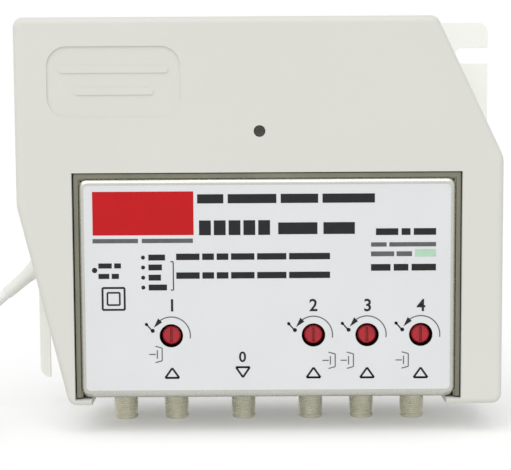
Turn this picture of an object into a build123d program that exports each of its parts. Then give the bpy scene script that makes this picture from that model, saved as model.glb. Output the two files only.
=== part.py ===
from build123d import *

import os
from math import atan2, cos, degrees, hypot, pi, radians, sin, tan

# A self powered indoor aerial amplifier, in millimetres.
# X runs to the right, Y runs back to the wall, Z runs up. It stands on its six sockets at Z = 0.

# Overall sizes
cover_sides = 38.9
cover_rise = 61.0
body_depth = 56.0
socket_drop = 11.4
wall = 2.2
plate_thickness = 2.5
plate_extra = 2.5
plate_lift = 0.6
cover_shift = -0.9
overrun = 1.0
fit_gap = 0.2

# Outline of the cover: the top right corner is cut off, the lower left side leans in
right_cut_width = 25.0
right_cut_height = 51.8
left_lean = 18.3
left_lean_height = 75.0
top_corner = 3.6
right_bend = 9.0
left_bend = 12.0
foot_corner = 3.6
front_edge = 2.4

# Window and mouth of the cover
window_left_gap = 1.55
window_right_gap = 1.45
window_rise = 1.6
mouth_left_inset = 4.55
mouth_right_inset = 3.95
mouth_gap = 1.0
window_rib = 1.8
window_rib_depth = 7.0

# Badge recess, with two plain raised bars in place of lettering
badge_from_side = 36.7
badge_drop = 23.6
badge_width = 49.0
badge_height = 26.0
badge_corner = 7.4
badge_depth = 0.6
bar_height = 2.6
bar_relief = 0.35
upper_bar = 40.0
lower_bar = 29.0
upper_bar_rise = 4.6
lower_bar_drop = 3.4

# Cover screw and the turret that it pulls on
screw_rise = 16.7
screw_hole = 4.3
screw_recess = 5.0
screw_head = 4.0
screw_head_height = 1.6
screw_shank = 2.4
screw_clearance = 2.8
screw_length = 24.0
turret_diameter = 8.4
turret_depth = 14.0
turret_gusset = 1.4
turret_gusset_reach = 5.0
pilot_depth = 16.0

# Base plate
plate_corner = 4.2
rim_thickness = 1.8
rim_height = 4.0
slot_width = 6.4
slot_from_right = 7.9
slot_drop = 13.1
slot_from_left = 6.9
slot_rise = 17.6
boss_diameter = 7.0

# Screening case, die cast, with its back lid
case_x = 1.8
case_width = 141.1
case_height = 83.0
case_lift = 2.5
case_step = 2.0
case_stand = 12.5
case_wall = 1.6
case_corner = 4.0
case_edge = 2.5
lid_thickness = 1.0
lid_lip = 1.8
lid_lip_wall = 0.8
lug_width = 12.0
lug_reach = 9.0
lug_thickness = 2.0
lug_spread_share = 0.73706
small_screw = 2.2
small_head = 4.4
small_head_height = 1.5
small_screw_length = 7.0
post_diameter = 5.6
post_inset = 6.4

# Front label
label_thickness = 0.25
label_margin = 2.65
label_inset = 3.1
label_corner = 1.5

# Sockets, 3/8 inch thread over diameter, and a plain neck through the case
socket_shares = (-0.39688, -0.25514, -0.06733, 0.12048, 0.26223, 0.40397)
socket_back = 9.0
socket_diameter = 9.52
socket_neck = 9.0
neck_gap = 0.5
socket_bore = 5.2
socket_flange = 12.4
socket_flange_height = 2.0
socket_chamfer = 0.6
socket_slack = 0.09
insulator_fit = 0.05
insulator_recess = 0.8
insulator_length = 11.0
insulator_mouth = 2.4
insulator_mouth_depth = 1.4
contact_diameter = 1.2
contact_length = 22.0
contact_recess = 2.6

# Level trimmers, one over each inlet but the first: a box on the board and a long red rotor
# behind each hole in the front
trimmer_shares = socket_shares[1:2] + socket_shares[3:]
trimmer_rise = 23.7
trimmer_hole = 8.9
label_hole = 8.8
trimmer_side = 9.6
trimmer_height = 5.0
rotor_head = 6.9
rotor_head_height = 3.0
rotor_recess = 1.5
rotor_stem = 4.4
rotor_disc = 7.4
rotor_disc_height = 1.8
rotor_pin = 3.0
rotor_play = 0.3
rotor_fit = 0.05
rotor_chamfer = 0.5
driver_slot_width = 1.1
driver_slot_length = 5.4
driver_slot_depth = 1.3
cavity_diameter = 8.0

# Module board and what stands on it
board_thickness = 1.6
board_margin = 0.6
board_rise = 3.9
board_drop = 2.9
fence_thickness = 0.5
fence_shares = (-0.32601, 0.02622, 0.33310)
fence_gap = 0.4
coil_former = 5.0
coil_former_bore = 3.4
coil_former_length = 7.0
coil_groove = 0.4
coil_grooves = 4
coil_leg = 0.8
tuning_shares = ((-0.4238, 0.5795), (-0.1829, 0.6759), (-0.1829, 0.5072), (0.1573, 0.6277), (0.4125, 0.5795))
chip_shares = ((-0.0836, 0.5795), (0.2282, 0.5072), (0.2282, 0.7482))
chip_width = 5.0
chip_length = 6.4
chip_height = 1.8
chip_leg_reach = 1.2
chip_leg_width = 0.9
chip_leg_height = 0.4
disc_shares = ((-0.4238, 0.7723), (-0.2551, 0.8205), (0.0865, 0.8205), (0.4040, 0.7964))
disc_diameter = 5.6
disc_thickness = 2.2
disc_stand = 1.5
disc_leg = 0.6
feed_share = 0.29908
feed_depth_share = 0.51282
feed_body = 3.6
feed_flange = 5.2
feed_flange_height = 1.0
feed_reach = 4.0
feed_pin = 0.8
feed_pin_reach = 5.0
feed_tail = 4.0

# Transformer
transformer_share = -0.33168
transformer_rise = 30.1
transformer_foot = 3.0
core_share = 0.29766
core_height = 35.0
core_stack = 15.0
core_window_width = 7.0
core_window_height = 21.0
bobbin_wall = 1.0
bobbin_overhang = 6.4
winding_inset = 0.8
winding_corner = 3.0
chamber_share = 0.58
clamp_thickness = 1.2
clamp_width = 11.0
clamp_foot = 10.0

# Power board and what stands on it
power_share = 0.24238
power_rise = 29.1
power_width_share = 0.35436
power_height = 38.0
power_stand = 6.0
power_corner = 1.0
power_screw_inset = 4.0
reservoir_height = 20.0
reservoir_place_shares = ((-0.26, 0.25), (-0.26, -0.171))
reservoir_diameter_shares = (0.25, 0.16)
reservoir_height_shares = (1.0, 0.6)
reservoir_groove = 0.5
reservoir_rim = 1.6
diode_share = -0.04
diode_rise_shares = (0.1316, 0.0, -0.1316, -0.2632)
diode_diameter = 2.7
diode_length_share = 0.104
diode_lead = 0.8
diode_reach_share = 0.048
regulator_share = 0.28
regulator_rise_share = -0.1316
regulator_width = 10.0
regulator_height = 9.2
regulator_depth = 4.4
regulator_tab = 1.3
regulator_tab_height = 6.0
regulator_leg = 0.9
regulator_leg_height = 4.0
sink_share = 0.38
sink_height = 19.5
sink_wall = 1.6
sink_arm = 6.5
fuse_share = 0.16
fuse_rise_share = 0.3026
fuse_diameter = 5.2
fuse_length_share = 0.4
fuse_cap = 5.0
fuse_cap_wall = 0.2
clip_width = 4.0
clip_wall = 0.6
clip_stand = 1.2

# Mains lead: the exit through the leaning wall, the bend relief, the lead itself
exit_rise = 51.6
exit_drop_angle = 40.0
cord_diameter = 4.4
neck_diameter = 8.4
relief_flange = 11.0
relief_flange_height = 1.6
relief_lip = 10.4
relief_lip_height = 1.2
relief_length = 24.0
relief_grip = 8.5
relief_grip_diameter = 7.8
relief_waist = 13.0
relief_waist_diameter = 5.6
relief_tip_diameter = 5.0
exit_gap = 0.3
inner_sheath = 22.0
lead_first_run = 10.0
bend_share = 0.45
# further bends of the lead, as shares of the way from its first bend to the coil
lead_shares = (
    (0.1453, 0.133, 0.2350),
    (0.2609, 0.300, 0.4999),
    (0.4353, 0.533, 0.7904),
    (0.5717, 0.733, 0.9267),
    (0.7347, 1.000, 1.0000),
)
bar_length = 21.0
bar_width = 7.0
bar_thickness = 3.0
bar_screw_spread = 13.5
wire_diameter = 2.0
wire_pitch = 2.3
wire_straight = 8.0
mains_pad_inset = 14.0
mains_pad_rise = 2.8
mains_shares = ((0.2115, 0.0, 0.2835), (0.4183, 0.0, 0.6701), (0.6251, 0.49, 0.7990), (0.8190, 1.34, 0.8247))
winding_wire_rise = 9.2
winding_wire_drop = 2.6
winding_pad_inset = 3.0
winding_pad_rise = 3.0
winding_shares = ((0.077, 0.0, 0.0), (0.385, 0.055, 0.167), (0.615, 0.272, 0.583), (0.795, 0.491, 0.931))
winding_fall_shares = (0.0, 0.0, 0.6, 1.0)
supply_pad_x = 4.0
supply_pad_rise = 4.0
supply_stand = 5.0
supply_shares = ((0.125, 0.301, 0.366), (0.5, 0.651, 0.976))

# Coil of the put away lead, wound in two layers on the floor beside the amplifier
coil_stand = 73.1
coil_back = 33.0
coil_outer = 36.0
coil_pitch = 4.857
coil_clear = 0.05
coil_inward_halves = 7
coil_outward_halves = 6
coil_reverse_step = 1.6
coil_reopen_step = 3.4
gap_samples = 1200

# Far end of the lead: off the coil, round its side and on to it, as shares of the coil's
# outer size along X and Y and of the rise to the plug
tail_run = 12.0
tail_shares = (
    (-0.7697, 0.7661, 0.097),
    (-0.9894, 0.4947, 0.271),
    (-1.0681, 0.1542, 0.445),
    (-0.9894, -0.1864, 0.598),
    (-0.7697, -0.4578, 0.793),
    (-0.4556, -0.6111, 1.000),
)

# Plug
plug_length = 32.0
plug_width = 35.3
plug_height = 13.7
plug_clear = 0.15
plug_station_shares = (0.0, 0.3125, 0.625)
plug_width_shares = (0.269, 0.737, 1.0)
plug_height_shares = (0.628, 0.891, 1.0)
plug_corner_share = 0.42
plug_rim = 0.8
plug_boot = 10.0
plug_boot_diameter = 7.4
plug_boot_tip = 5.2
pin_diameter = 4.0
pin_length = 19.0
pin_spacing = 18.6
pin_tip = 0.8

# Places worked out from the sizes
front_y = -body_depth / 2
rear_y = body_depth / 2
plate_front = rear_y - plate_thickness
cover_depth = plate_front - front_y
cover_width = case_width + cover_sides
cover_height = case_height + cover_rise
plate_width = cover_width + plate_extra
cover_left = cover_shift - cover_width / 2
cover_right = cover_shift + cover_width / 2
cover_bottom = socket_drop
cover_top = cover_bottom + cover_height
left_bend_z = cover_bottom + left_lean_height
case_bottom = cover_bottom + case_lift
case_top = case_bottom + case_height
case_left = case_x - case_width / 2
case_right = case_x + case_width / 2
case_front = front_y + case_step
case_back = plate_front - case_stand
case_depth = case_back - case_front
case_mid_z = case_bottom + case_height / 2
window_left = case_left - window_left_gap
window_right = case_right + window_right_gap
window_top = case_top + window_rise
mouth_left = case_left + mouth_left_inset
mouth_right = case_right - mouth_right_inset
mouth_back = case_back + mouth_gap
badge_x = cover_left + badge_from_side
badge_z = cover_top - badge_drop
screw_z = case_top + screw_rise
right_slot_x = cover_right - slot_from_right
right_slot_z = cover_top - slot_drop
left_slot_x = cover_left + slot_from_left
left_slot_z = cover_bottom + slot_rise
lug_spread = case_width * lug_spread_share
label_width = case_width - 2 * label_margin
label_bottom = case_bottom + label_inset
label_top = case_top - label_inset
socket_y = case_back - socket_back
socket_places = [case_x + case_width * share for share in socket_shares]
trimmer_places = [case_x + case_width * share for share in trimmer_shares]
trimmer_z = case_bottom + trimmer_rise
fence_places = [case_x + case_width * share for share in fence_shares]
board_bottom = case_bottom + board_rise
board_top = case_top - board_drop
board_front = socket_y + contact_diameter / 2
board_back = board_front + board_thickness
turret_end = front_y + wall + turret_depth
tuning_places = [(case_x + case_width * x, case_bottom + case_height * z) for x, z in tuning_shares]
chip_places = [(case_x + case_width * x, case_bottom + case_height * z) for x, z in chip_shares]
disc_places = [(case_x + case_width * x, case_bottom + case_height * z) for x, z in disc_shares]
feed_x = case_x + case_width * feed_share
feed_y = case_front + case_depth * feed_depth_share
transformer_x = case_x + case_width * transformer_share
transformer_z = case_top + transformer_rise
core_width = case_width * core_share
power_x = case_x + case_width * power_share
power_z = case_top + power_rise
power_width = case_width * power_width_share
power_left = power_x - power_width / 2
power_bottom = power_z - power_height / 2
reservoir_places = [
    (power_x + power_width * x, power_z + power_height * z) for x, z in reservoir_place_shares
]
reservoir_diameters = [power_width * share for share in reservoir_diameter_shares]
reservoir_heights = [reservoir_height * share for share in reservoir_height_shares]
diode_places = [(power_x + power_width * diode_share, power_z + power_height * z) for z in diode_rise_shares]
diode_length = power_width * diode_length_share
diode_lead_reach = power_width * diode_reach_share
regulator_x = power_x + power_width * regulator_share
regulator_z = power_z + power_height * regulator_rise_share
sink_width = power_width * sink_share
fuse_x = power_x + power_width * fuse_share
fuse_z = power_z + power_height * fuse_rise_share
fuse_length = power_width * fuse_length_share
power_back = plate_front - power_stand
power_front = power_back - board_thickness
core_back = plate_front - transformer_foot
core_front = core_back - core_height
exit_y = plate_front - neck_diameter / 2 - exit_gap
exit_z = cover_bottom + exit_rise
exit_x = cover_left + left_lean * (left_bend_z - exit_z) / left_lean_height
lean_angle = degrees(atan2(left_lean, left_lean_height))
wall_out = Vector(-cos(radians(lean_angle)), 0, -sin(radians(lean_angle)))
cord_out = Vector(-cos(radians(exit_drop_angle)), 0, -sin(radians(exit_drop_angle)))
exit_point = Vector(exit_x, exit_y, exit_z)
cord_start = exit_point + cord_out * relief_length
lead_bend = cord_start + cord_out * lead_first_run
coil_x = cover_left - coil_stand
coil_y = exit_y - coil_back
coil_floor_z = cord_diameter / 2 + coil_clear
coil_top_z = coil_floor_z + coil_pitch
post_places = [
    (case_x + side * (case_width / 2 - post_inset), case_mid_z + end * (case_height / 2 - post_inset))
    for side in (-1, 1)
    for end in (-1, 1)
]
lug_places = [(case_x + side * lug_spread / 2, case_top + lug_reach / 2) for side in (-1, 1)]
power_screw_places = [
    (
        power_x + side * (power_width / 2 - power_screw_inset),
        power_z + end * (power_height / 2 - power_screw_inset),
    )
    for side in (-1, 1)
    for end in (-1, 1)
]
foot_places = [
    (transformer_x + side * (core_width / 2 + clamp_thickness + clamp_foot / 2), transformer_z)
    for side in (-1, 1)
]
inner_end = exit_point - wall_out * (wall + relief_flange_height)
bar_mid = exit_point - wall_out * (wall + relief_flange_height + bar_width)
bar_along = Vector(-wall_out.Z, 0, wall_out.X)
bar_screws = [bar_mid + bar_along * (side * bar_screw_spread / 2) for side in (-1, 1)]
bar_screw_places = [(screw.X, screw.Z) for screw in bar_screws]
bar_back = exit_y - cord_diameter / 2


def facing(y):
    """A drawing plane square to Y, drawn on as seen from the front."""
    return Plane.XZ.offset(-y)


def spot(x, y, z):
    """A place whose own Z points to the front."""
    return Plane(origin=(x, y, z), x_dir=(1, 0, 0), z_dir=(0, -1, 0))


def spots(places, y):
    """The same for a list of places at one depth."""
    return [spot(x, y, z) for x, z in places]


def cover_outline(y, inset):
    """The cover's outline at a depth, drawn in by inset."""
    corners = [
        (cover_left, cover_top),
        (cover_right - right_cut_width, cover_top),
        (cover_right, cover_top - right_cut_height),
        (cover_right, cover_bottom),
        (cover_left + left_lean, cover_bottom),
        (cover_left, left_bend_z),
    ]
    radii = [top_corner, top_corner, right_bend, foot_corner, foot_corner, left_bend]
    with BuildSketch(facing(y)) as outline:
        with BuildLine():
            FilletPolyline(*corners, radius=radii, close=True)
        make_face()
        if inset > 0:
            offset(amount=-inset, kind=Kind.INTERSECTION)
    return outline.sketch


def add_screws(places, head, head_height, shank, length):
    """Round headed screws, drawn into the part that is being made."""
    with Locations(*places):
        Cylinder(head / 2, head_height, align=(Align.CENTER, Align.CENTER, Align.MIN))
        Cylinder(shank / 2, length, align=(Align.CENTER, Align.CENTER, Align.MAX))


def write_part(piece, name):
    """Label a finished piece and write it as one STEP file."""
    piece.label = name
    export_step(piece, f"parts/{name}.step")


def corner_radii(points):
    """Bend radii of a lead: a share of the shorter run over the tangent of half the turn."""
    radii = []
    for before, here, after in zip(points, points[1:], points[2:]):
        into = Vector(*here) - Vector(*before)
        out = Vector(*after) - Vector(*here)
        half_turn = radians(into.get_angle(out)) / 2
        radii.append(bend_share * min(into.length, out.length) / tan(half_turn))
    return radii


def lead(points, diameter):
    """A round lead along straight runs joined by arcs."""
    with BuildPart() as tube:
        with BuildLine() as route:
            FilletPolyline(*points, radius=corner_radii(points))
        with BuildSketch(Plane(origin=route.line @ 0, z_dir=route.line % 0)):
            Circle(diameter / 2)
        sweep()
    return tube.part, route.wire().length


os.makedirs("parts", exist_ok=True)

# Front cover: one moulding, open at the back, with a window for the screening case
with BuildPart() as front_cover:
    extrude(cover_outline(plate_front, 0), amount=cover_depth)
    fillet(front_cover.faces().sort_by(Axis.Y)[0].edges(), radius=front_edge)
    extrude(cover_outline(plate_front, wall), amount=cover_depth - wall, mode=Mode.SUBTRACT)
    # window, open at the bottom between two small toes
    with BuildSketch(facing(front_y + wall)):
        with Locations((window_left, cover_bottom + wall)):
            Rectangle(
                window_right - window_left,
                window_top - cover_bottom - wall,
                align=(Align.MIN, Align.MIN),
            )
    extrude(amount=wall + overrun, mode=Mode.SUBTRACT)
    with BuildSketch(facing(mouth_back)):
        with Locations((mouth_left, cover_bottom - overrun)):
            Rectangle(mouth_right - mouth_left, wall + 2 * overrun, align=(Align.MIN, Align.MIN))
    extrude(amount=mouth_back - front_y + overrun, mode=Mode.SUBTRACT)
    # stiffening rib above the window
    with BuildSketch(facing(front_y + wall)):
        with Locations((window_left, window_top)):
            Rectangle(window_right - window_left, window_rib, align=(Align.MIN, Align.MIN))
    extrude(amount=-window_rib_depth)
    # turret for the cover screw, with four gussets
    with BuildSketch(facing(front_y + wall)):
        with Locations((cover_shift, screw_z)):
            Circle(turret_diameter / 2)
    extrude(amount=-turret_depth)
    with BuildSketch(facing(front_y + wall)):
        with Locations((cover_shift, screw_z)):
            Rectangle(turret_diameter + 2 * turret_gusset_reach, turret_gusset)
            Rectangle(turret_gusset, turret_diameter + 2 * turret_gusset_reach)
    extrude(amount=-turret_depth / 2)
    with Locations(spot(cover_shift, front_y, screw_z)):
        CounterBoreHole(screw_clearance / 2, screw_hole / 2, screw_recess)
    # badge recess with two plain raised bars
    with BuildSketch(facing(front_y)):
        with Locations((badge_x, badge_z)):
            RectangleRounded(badge_width, badge_height, badge_corner)
    extrude(amount=-badge_depth, mode=Mode.SUBTRACT)
    with BuildSketch(facing(front_y + badge_depth)):
        with Locations((badge_x, badge_z + upper_bar_rise)):
            SlotOverall(upper_bar, bar_height)
        with Locations((badge_x, badge_z - lower_bar_drop)):
            SlotOverall(lower_bar, bar_height)
    extrude(amount=bar_relief)
    # notch for the mains lead, open to the base plate
    with BuildSketch(Plane(origin=exit_point + wall_out * overrun, x_dir=(0, 1, 0), z_dir=-wall_out)):
        Circle(neck_diameter / 2 + fit_gap)
        Rectangle(body_depth, neck_diameter + 2 * fit_gap, align=(Align.MIN, Align.CENTER))
    extrude(amount=wall + 2 * overrun, mode=Mode.SUBTRACT)
write_part(front_cover.part, "front_cover")

# Base plate: flat against the wall, with an open screw slot in two opposite corners
with BuildPart() as base_plate:
    with BuildSketch(facing(rear_y)):
        with Locations((0, (cover_top + cover_bottom + plate_lift) / 2)):
            RectangleRounded(plate_width, cover_height - plate_lift, plate_corner)
    extrude(amount=plate_thickness)
    extrude(cover_outline(plate_front, wall + fit_gap), amount=rim_height)
    extrude(
        cover_outline(plate_front, wall + fit_gap + rim_thickness),
        amount=rim_height + overrun,
        mode=Mode.SUBTRACT,
    )
    # the rim stops at the notch of the lead
    with BuildSketch(Plane(origin=exit_point, x_dir=(0, 1, 0), z_dir=-wall_out)):
        Rectangle(plate_front - exit_y, relief_flange + 2 * fit_gap, align=(Align.MIN, Align.CENTER))
        Rectangle(body_depth, relief_flange + 2 * fit_gap, align=(Align.MAX, Align.CENTER))
    extrude(amount=wall + fit_gap + rim_thickness + overrun, mode=Mode.SUBTRACT)
    # wall screw slots
    with BuildSketch(facing(rear_y)):
        with Locations((right_slot_x, right_slot_z), (left_slot_x, left_slot_z)):
            Circle(slot_width / 2)
        with Locations((right_slot_x, right_slot_z)):
            Rectangle(plate_width / 2, slot_width, align=(Align.MIN, Align.CENTER))
        with Locations((left_slot_x, left_slot_z)):
            Rectangle(slot_width, plate_width / 2, align=(Align.CENTER, Align.MAX))
    extrude(amount=plate_thickness + overrun, both=True, mode=Mode.SUBTRACT)
    # bosses for the cover screw, the case, the transformer, the power board and the lead clamp
    with Locations(spot(cover_shift, plate_front, screw_z)):
        Cylinder(
            turret_diameter / 2,
            plate_front - turret_end - fit_gap,
            align=(Align.CENTER, Align.CENTER, Align.MIN),
        )
    with Locations(*spots(post_places + lug_places, plate_front)):
        Cylinder(boss_diameter / 2, plate_front - case_back, align=(Align.CENTER, Align.CENTER, Align.MIN))
    with Locations(*spots(foot_places, plate_front)):
        Cylinder(boss_diameter / 2, transformer_foot, align=(Align.CENTER, Align.CENTER, Align.MIN))
    with Locations(*spots(power_screw_places, plate_front)):
        Cylinder(boss_diameter / 2, power_stand, align=(Align.CENTER, Align.CENTER, Align.MIN))
    with Locations(*spots(bar_screw_places, plate_front)):
        Cylinder(boss_diameter / 2, plate_front - bar_back, align=(Align.CENTER, Align.CENTER, Align.MIN))
    # pilot holes
    with Locations(spot(cover_shift, turret_end + fit_gap, screw_z)):
        Hole(screw_shank / 2, depth=pilot_depth)
    with Locations(*spots(lug_places, case_back)):
        Hole(small_screw / 2, depth=small_screw_length)
    with Locations(*spots(foot_places, core_back)):
        Hole(small_screw / 2, depth=transformer_foot + plate_thickness / 2)
    with Locations(*spots(power_screw_places, power_back)):
        Hole(small_screw / 2, depth=power_stand)
    with Locations(*spots(bar_screw_places, bar_back)):
        Hole(small_screw / 2, depth=small_screw_length)
write_part(base_plate.part, "base_plate")

# Cover screw, deep in its turret
screw_seat = front_y + screw_recess
with BuildPart() as cover_screw:
    add_screws(
        [spot(cover_shift, screw_seat, screw_z)], screw_head, screw_head_height, screw_shank, screw_length
    )
    with Locations(spot(cover_shift, screw_seat - screw_head_height, screw_z)):
        Box(screw_head / 2, screw_head_height / 3, screw_head_height, mode=Mode.SUBTRACT)
        Box(screw_head_height / 3, screw_head / 2, screw_head_height, mode=Mode.SUBTRACT)
write_part(cover_screw.part, "cover_screw")

# Screening case: a die cast tray with rounded front edges, open at the back
with BuildPart() as module_case:
    with BuildSketch(facing(case_back)):
        with Locations((case_x, case_mid_z)):
            RectangleRounded(case_width, case_height, case_corner)
    extrude(amount=case_depth)
    fillet(module_case.faces().sort_by(Axis.Y)[0].edges(), radius=case_edge)
    with BuildSketch(facing(case_back)):
        with Locations((case_x, case_mid_z)):
            RectangleRounded(
                case_width - 2 * case_wall, case_height - 2 * case_wall, case_corner - case_wall
            )
    extrude(amount=case_depth - case_wall, mode=Mode.SUBTRACT)
    # corner posts carry the board
    with Locations(*spots(post_places, board_front)):
        Cylinder(
            post_diameter / 2,
            board_front - case_front - case_wall,
            align=(Align.CENTER, Align.CENTER, Align.MIN),
        )
        Hole(small_screw / 2, depth=small_screw_length)
    # lugs at the top edge take the fixing screws
    with BuildSketch(facing(case_back)):
        with Locations(*[(x, case_top) for x, _ in lug_places]):
            Rectangle(lug_width, 2 * lug_reach, align=(Align.CENTER, Align.CENTER))
        with Locations((case_x, case_mid_z)):
            Rectangle(case_width - 2 * case_wall, case_height - case_wall, mode=Mode.SUBTRACT)
    extrude(amount=lug_thickness)
    fillet(
        module_case.edges().filter_by(Axis.Y).group_by(Axis.Z)[-1], radius=lug_width / 2 - fit_gap
    )
    with Locations(*spots(lug_places, case_back - lug_thickness)):
        Hole(small_screw / 2 + fit_gap, depth=lug_thickness)
    # trimmer holes in the front, socket holes in the bottom, one hole for the supply in the top
    with Locations(*spots([(x, trimmer_z) for x in trimmer_places], case_front)):
        Hole(trimmer_hole / 2, depth=case_wall)
    with Locations(*[(x, socket_y, case_bottom + case_wall) for x in socket_places]):
        Hole(socket_neck / 2 + socket_slack, depth=case_wall)
    with Locations((feed_x, feed_y, case_top)):
        Hole(feed_body / 2 + fit_gap / 2, depth=case_wall)
write_part(module_case.part, "module_case")

# Back lid of the case, pressed in with a short lip
with BuildPart() as module_lid:
    with BuildSketch(facing(case_back)):
        with Locations((case_x, case_mid_z)):
            RectangleRounded(
                case_width - 2 * case_wall - fit_gap / 2,
                case_height - 2 * case_wall - fit_gap / 2,
                case_corner - case_wall - fit_gap / 4,
            )
    extrude(amount=lid_lip)
    with BuildSketch(facing(case_back - lid_thickness)):
        with Locations((case_x, case_mid_z)):
            RectangleRounded(
                case_width - 2 * case_wall - 2 * lid_lip_wall,
                case_height - 2 * case_wall - 2 * lid_lip_wall,
                case_corner - case_wall - lid_lip_wall,
            )
    extrude(amount=lid_lip, mode=Mode.SUBTRACT)
write_part(module_lid.part, "module_lid")

with BuildPart() as module_screws:
    add_screws(
        spots(lug_places, case_back - lug_thickness),
        small_head,
        small_head_height,
        small_screw,
        small_screw_length,
    )
write_part(module_screws.part, "module_screws")

# Front label, a thin printed sheet with a hole at each trimmer
with BuildPart() as front_label:
    with BuildSketch(facing(case_front)):
        with Locations((case_x, (label_bottom + label_top) / 2)):
            RectangleRounded(label_width, label_top - label_bottom, label_corner)
        with Locations(*[(x, trimmer_z) for x in trimmer_places]):
            Circle(label_hole / 2, mode=Mode.SUBTRACT)
    extrude(amount=label_thickness)
write_part(front_label.part, "front_label")

# Sockets: a threaded barrel, a plain neck through the case and a flange inside it
thread_top = case_bottom - neck_gap
flange_bottom = case_bottom + case_wall
for number, place in enumerate(socket_places, start=1):
    with BuildPart() as rf_socket:
        with BuildSketch(Plane.XY):
            with Locations((place, socket_y)):
                Circle(socket_diameter / 2)
        extrude(amount=thread_top)
        chamfer(rf_socket.edges().group_by(Axis.Z)[0], length=socket_chamfer)
        with BuildSketch(Plane.XY.offset(thread_top)):
            with Locations((place, socket_y)):
                Circle(socket_neck / 2)
        extrude(amount=flange_bottom - thread_top)
        with BuildSketch(Plane.XY.offset(flange_bottom)):
            with Locations((place, socket_y)):
                Circle(socket_flange / 2)
        extrude(amount=socket_flange_height)
        with Locations((place, socket_y, flange_bottom + socket_flange_height)):
            Hole(socket_bore / 2)
    write_part(rf_socket.part, f"rf_socket_{number}")

with BuildPart() as socket_insulators:
    with Locations(*[(x, socket_y, insulator_recess) for x in socket_places]):
        Cylinder(
            socket_bore / 2 - insulator_fit,
            insulator_length,
            align=(Align.CENTER, Align.CENTER, Align.MIN),
        )
    with Locations(*[(x, socket_y, insulator_recess) for x in socket_places]):
        Cylinder(insulator_mouth / 2, 2 * insulator_mouth_depth, mode=Mode.SUBTRACT)
        Cylinder(
            contact_diameter / 2,
            insulator_length,
            align=(Align.CENTER, Align.CENTER, Align.MIN),
            mode=Mode.SUBTRACT,
        )
write_part(socket_insulators.part, "socket_insulators")

with BuildPart() as socket_contacts:
    with Locations(*[(x, socket_y, contact_recess) for x in socket_places]):
        Cylinder(
            contact_diameter / 2, contact_length, align=(Align.CENTER, Align.CENTER, Align.MIN)
        )
write_part(socket_contacts.part, "socket_contacts")

# Trimmer boxes on the board
trimmer_front = board_front - trimmer_height
cavity_depth = rotor_disc_height + 2 * rotor_play
for number, place in enumerate(trimmer_places, start=1):
    with BuildPart() as trimmer_body:
        with BuildSketch(facing(board_front)):
            with Locations((place, trimmer_z)):
                Rectangle(trimmer_side, trimmer_side)
        extrude(amount=trimmer_height)
        chamfer(trimmer_body.edges().filter_by(Axis.Y), length=rotor_chamfer)
        with Locations(spot(place, trimmer_front, trimmer_z)):
            CounterBoreHole(rotor_pin / 2 + rotor_fit, cavity_diameter / 2, cavity_depth)
    write_part(trimmer_body.part, f"trimmer_body_{number}")

# Rotors: the slotted red head shows in the front, the disc and pin turn in the box
head_front = case_front - label_thickness + rotor_recess
disc_front = trimmer_front + rotor_play
for number, place in enumerate(trimmer_places, start=1):
    with BuildPart() as trimmer_rotor:
        with Locations(spot(place, head_front, trimmer_z)):
            Cylinder(
                rotor_head / 2, rotor_head_height, align=(Align.CENTER, Align.CENTER, Align.MAX)
            )
            Cylinder(
                rotor_stem / 2, disc_front - head_front, align=(Align.CENTER, Align.CENTER, Align.MAX)
            )
        chamfer(trimmer_rotor.edges().group_by(Axis.Y)[0], length=rotor_chamfer)
        with Locations(spot(place, disc_front, trimmer_z)):
            Cylinder(
                rotor_disc / 2, rotor_disc_height, align=(Align.CENTER, Align.CENTER, Align.MAX)
            )
            Cylinder(
                rotor_pin / 2,
                trimmer_height - 2 * rotor_play,
                align=(Align.CENTER, Align.CENTER, Align.MAX),
            )
        with Locations(spot(place, head_front, trimmer_z)):
            Box(driver_slot_width, driver_slot_length, 2 * driver_slot_depth, mode=Mode.SUBTRACT)
    write_part(trimmer_rotor.part, f"trimmer_rotor_{number}")

# Module board, screwed to the corner posts
board_width = case_width - 2 * case_wall - 2 * board_margin
with BuildPart() as module_board:
    with BuildSketch(facing(board_back)):
        with Locations((case_x, board_bottom)):
            Rectangle(board_width, board_top - board_bottom, align=(Align.CENTER, Align.MIN))
        with Locations(*post_places):
            Circle(small_screw / 2 + fit_gap, mode=Mode.SUBTRACT)
    extrude(amount=board_thickness)
write_part(module_board.part, "module_board")

with BuildPart() as board_screws:
    with Locations(*spots(post_places, board_back)):
        Cylinder(
            small_head / 2, small_head_height, align=(Align.CENTER, Align.CENTER, Align.MAX)
        )
        Cylinder(
            small_screw / 2,
            board_thickness + small_screw_length / 2,
            align=(Align.CENTER, Align.CENTER, Align.MIN),
        )
write_part(board_screws.part, "board_screws")

# Screening fences between the bands, from the board to the front wall
fence_length = board_front - case_front - case_wall - fence_gap
with BuildPart() as screen_fences:
    with BuildSketch(facing(board_front)):
        with Locations(*[(x, (board_top + board_bottom) / 2) for x in fence_places]):
            Rectangle(fence_thickness, board_top - board_bottom - 2 * post_inset)
    extrude(amount=fence_length)
write_part(screen_fences.part, "screen_fences")

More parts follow.
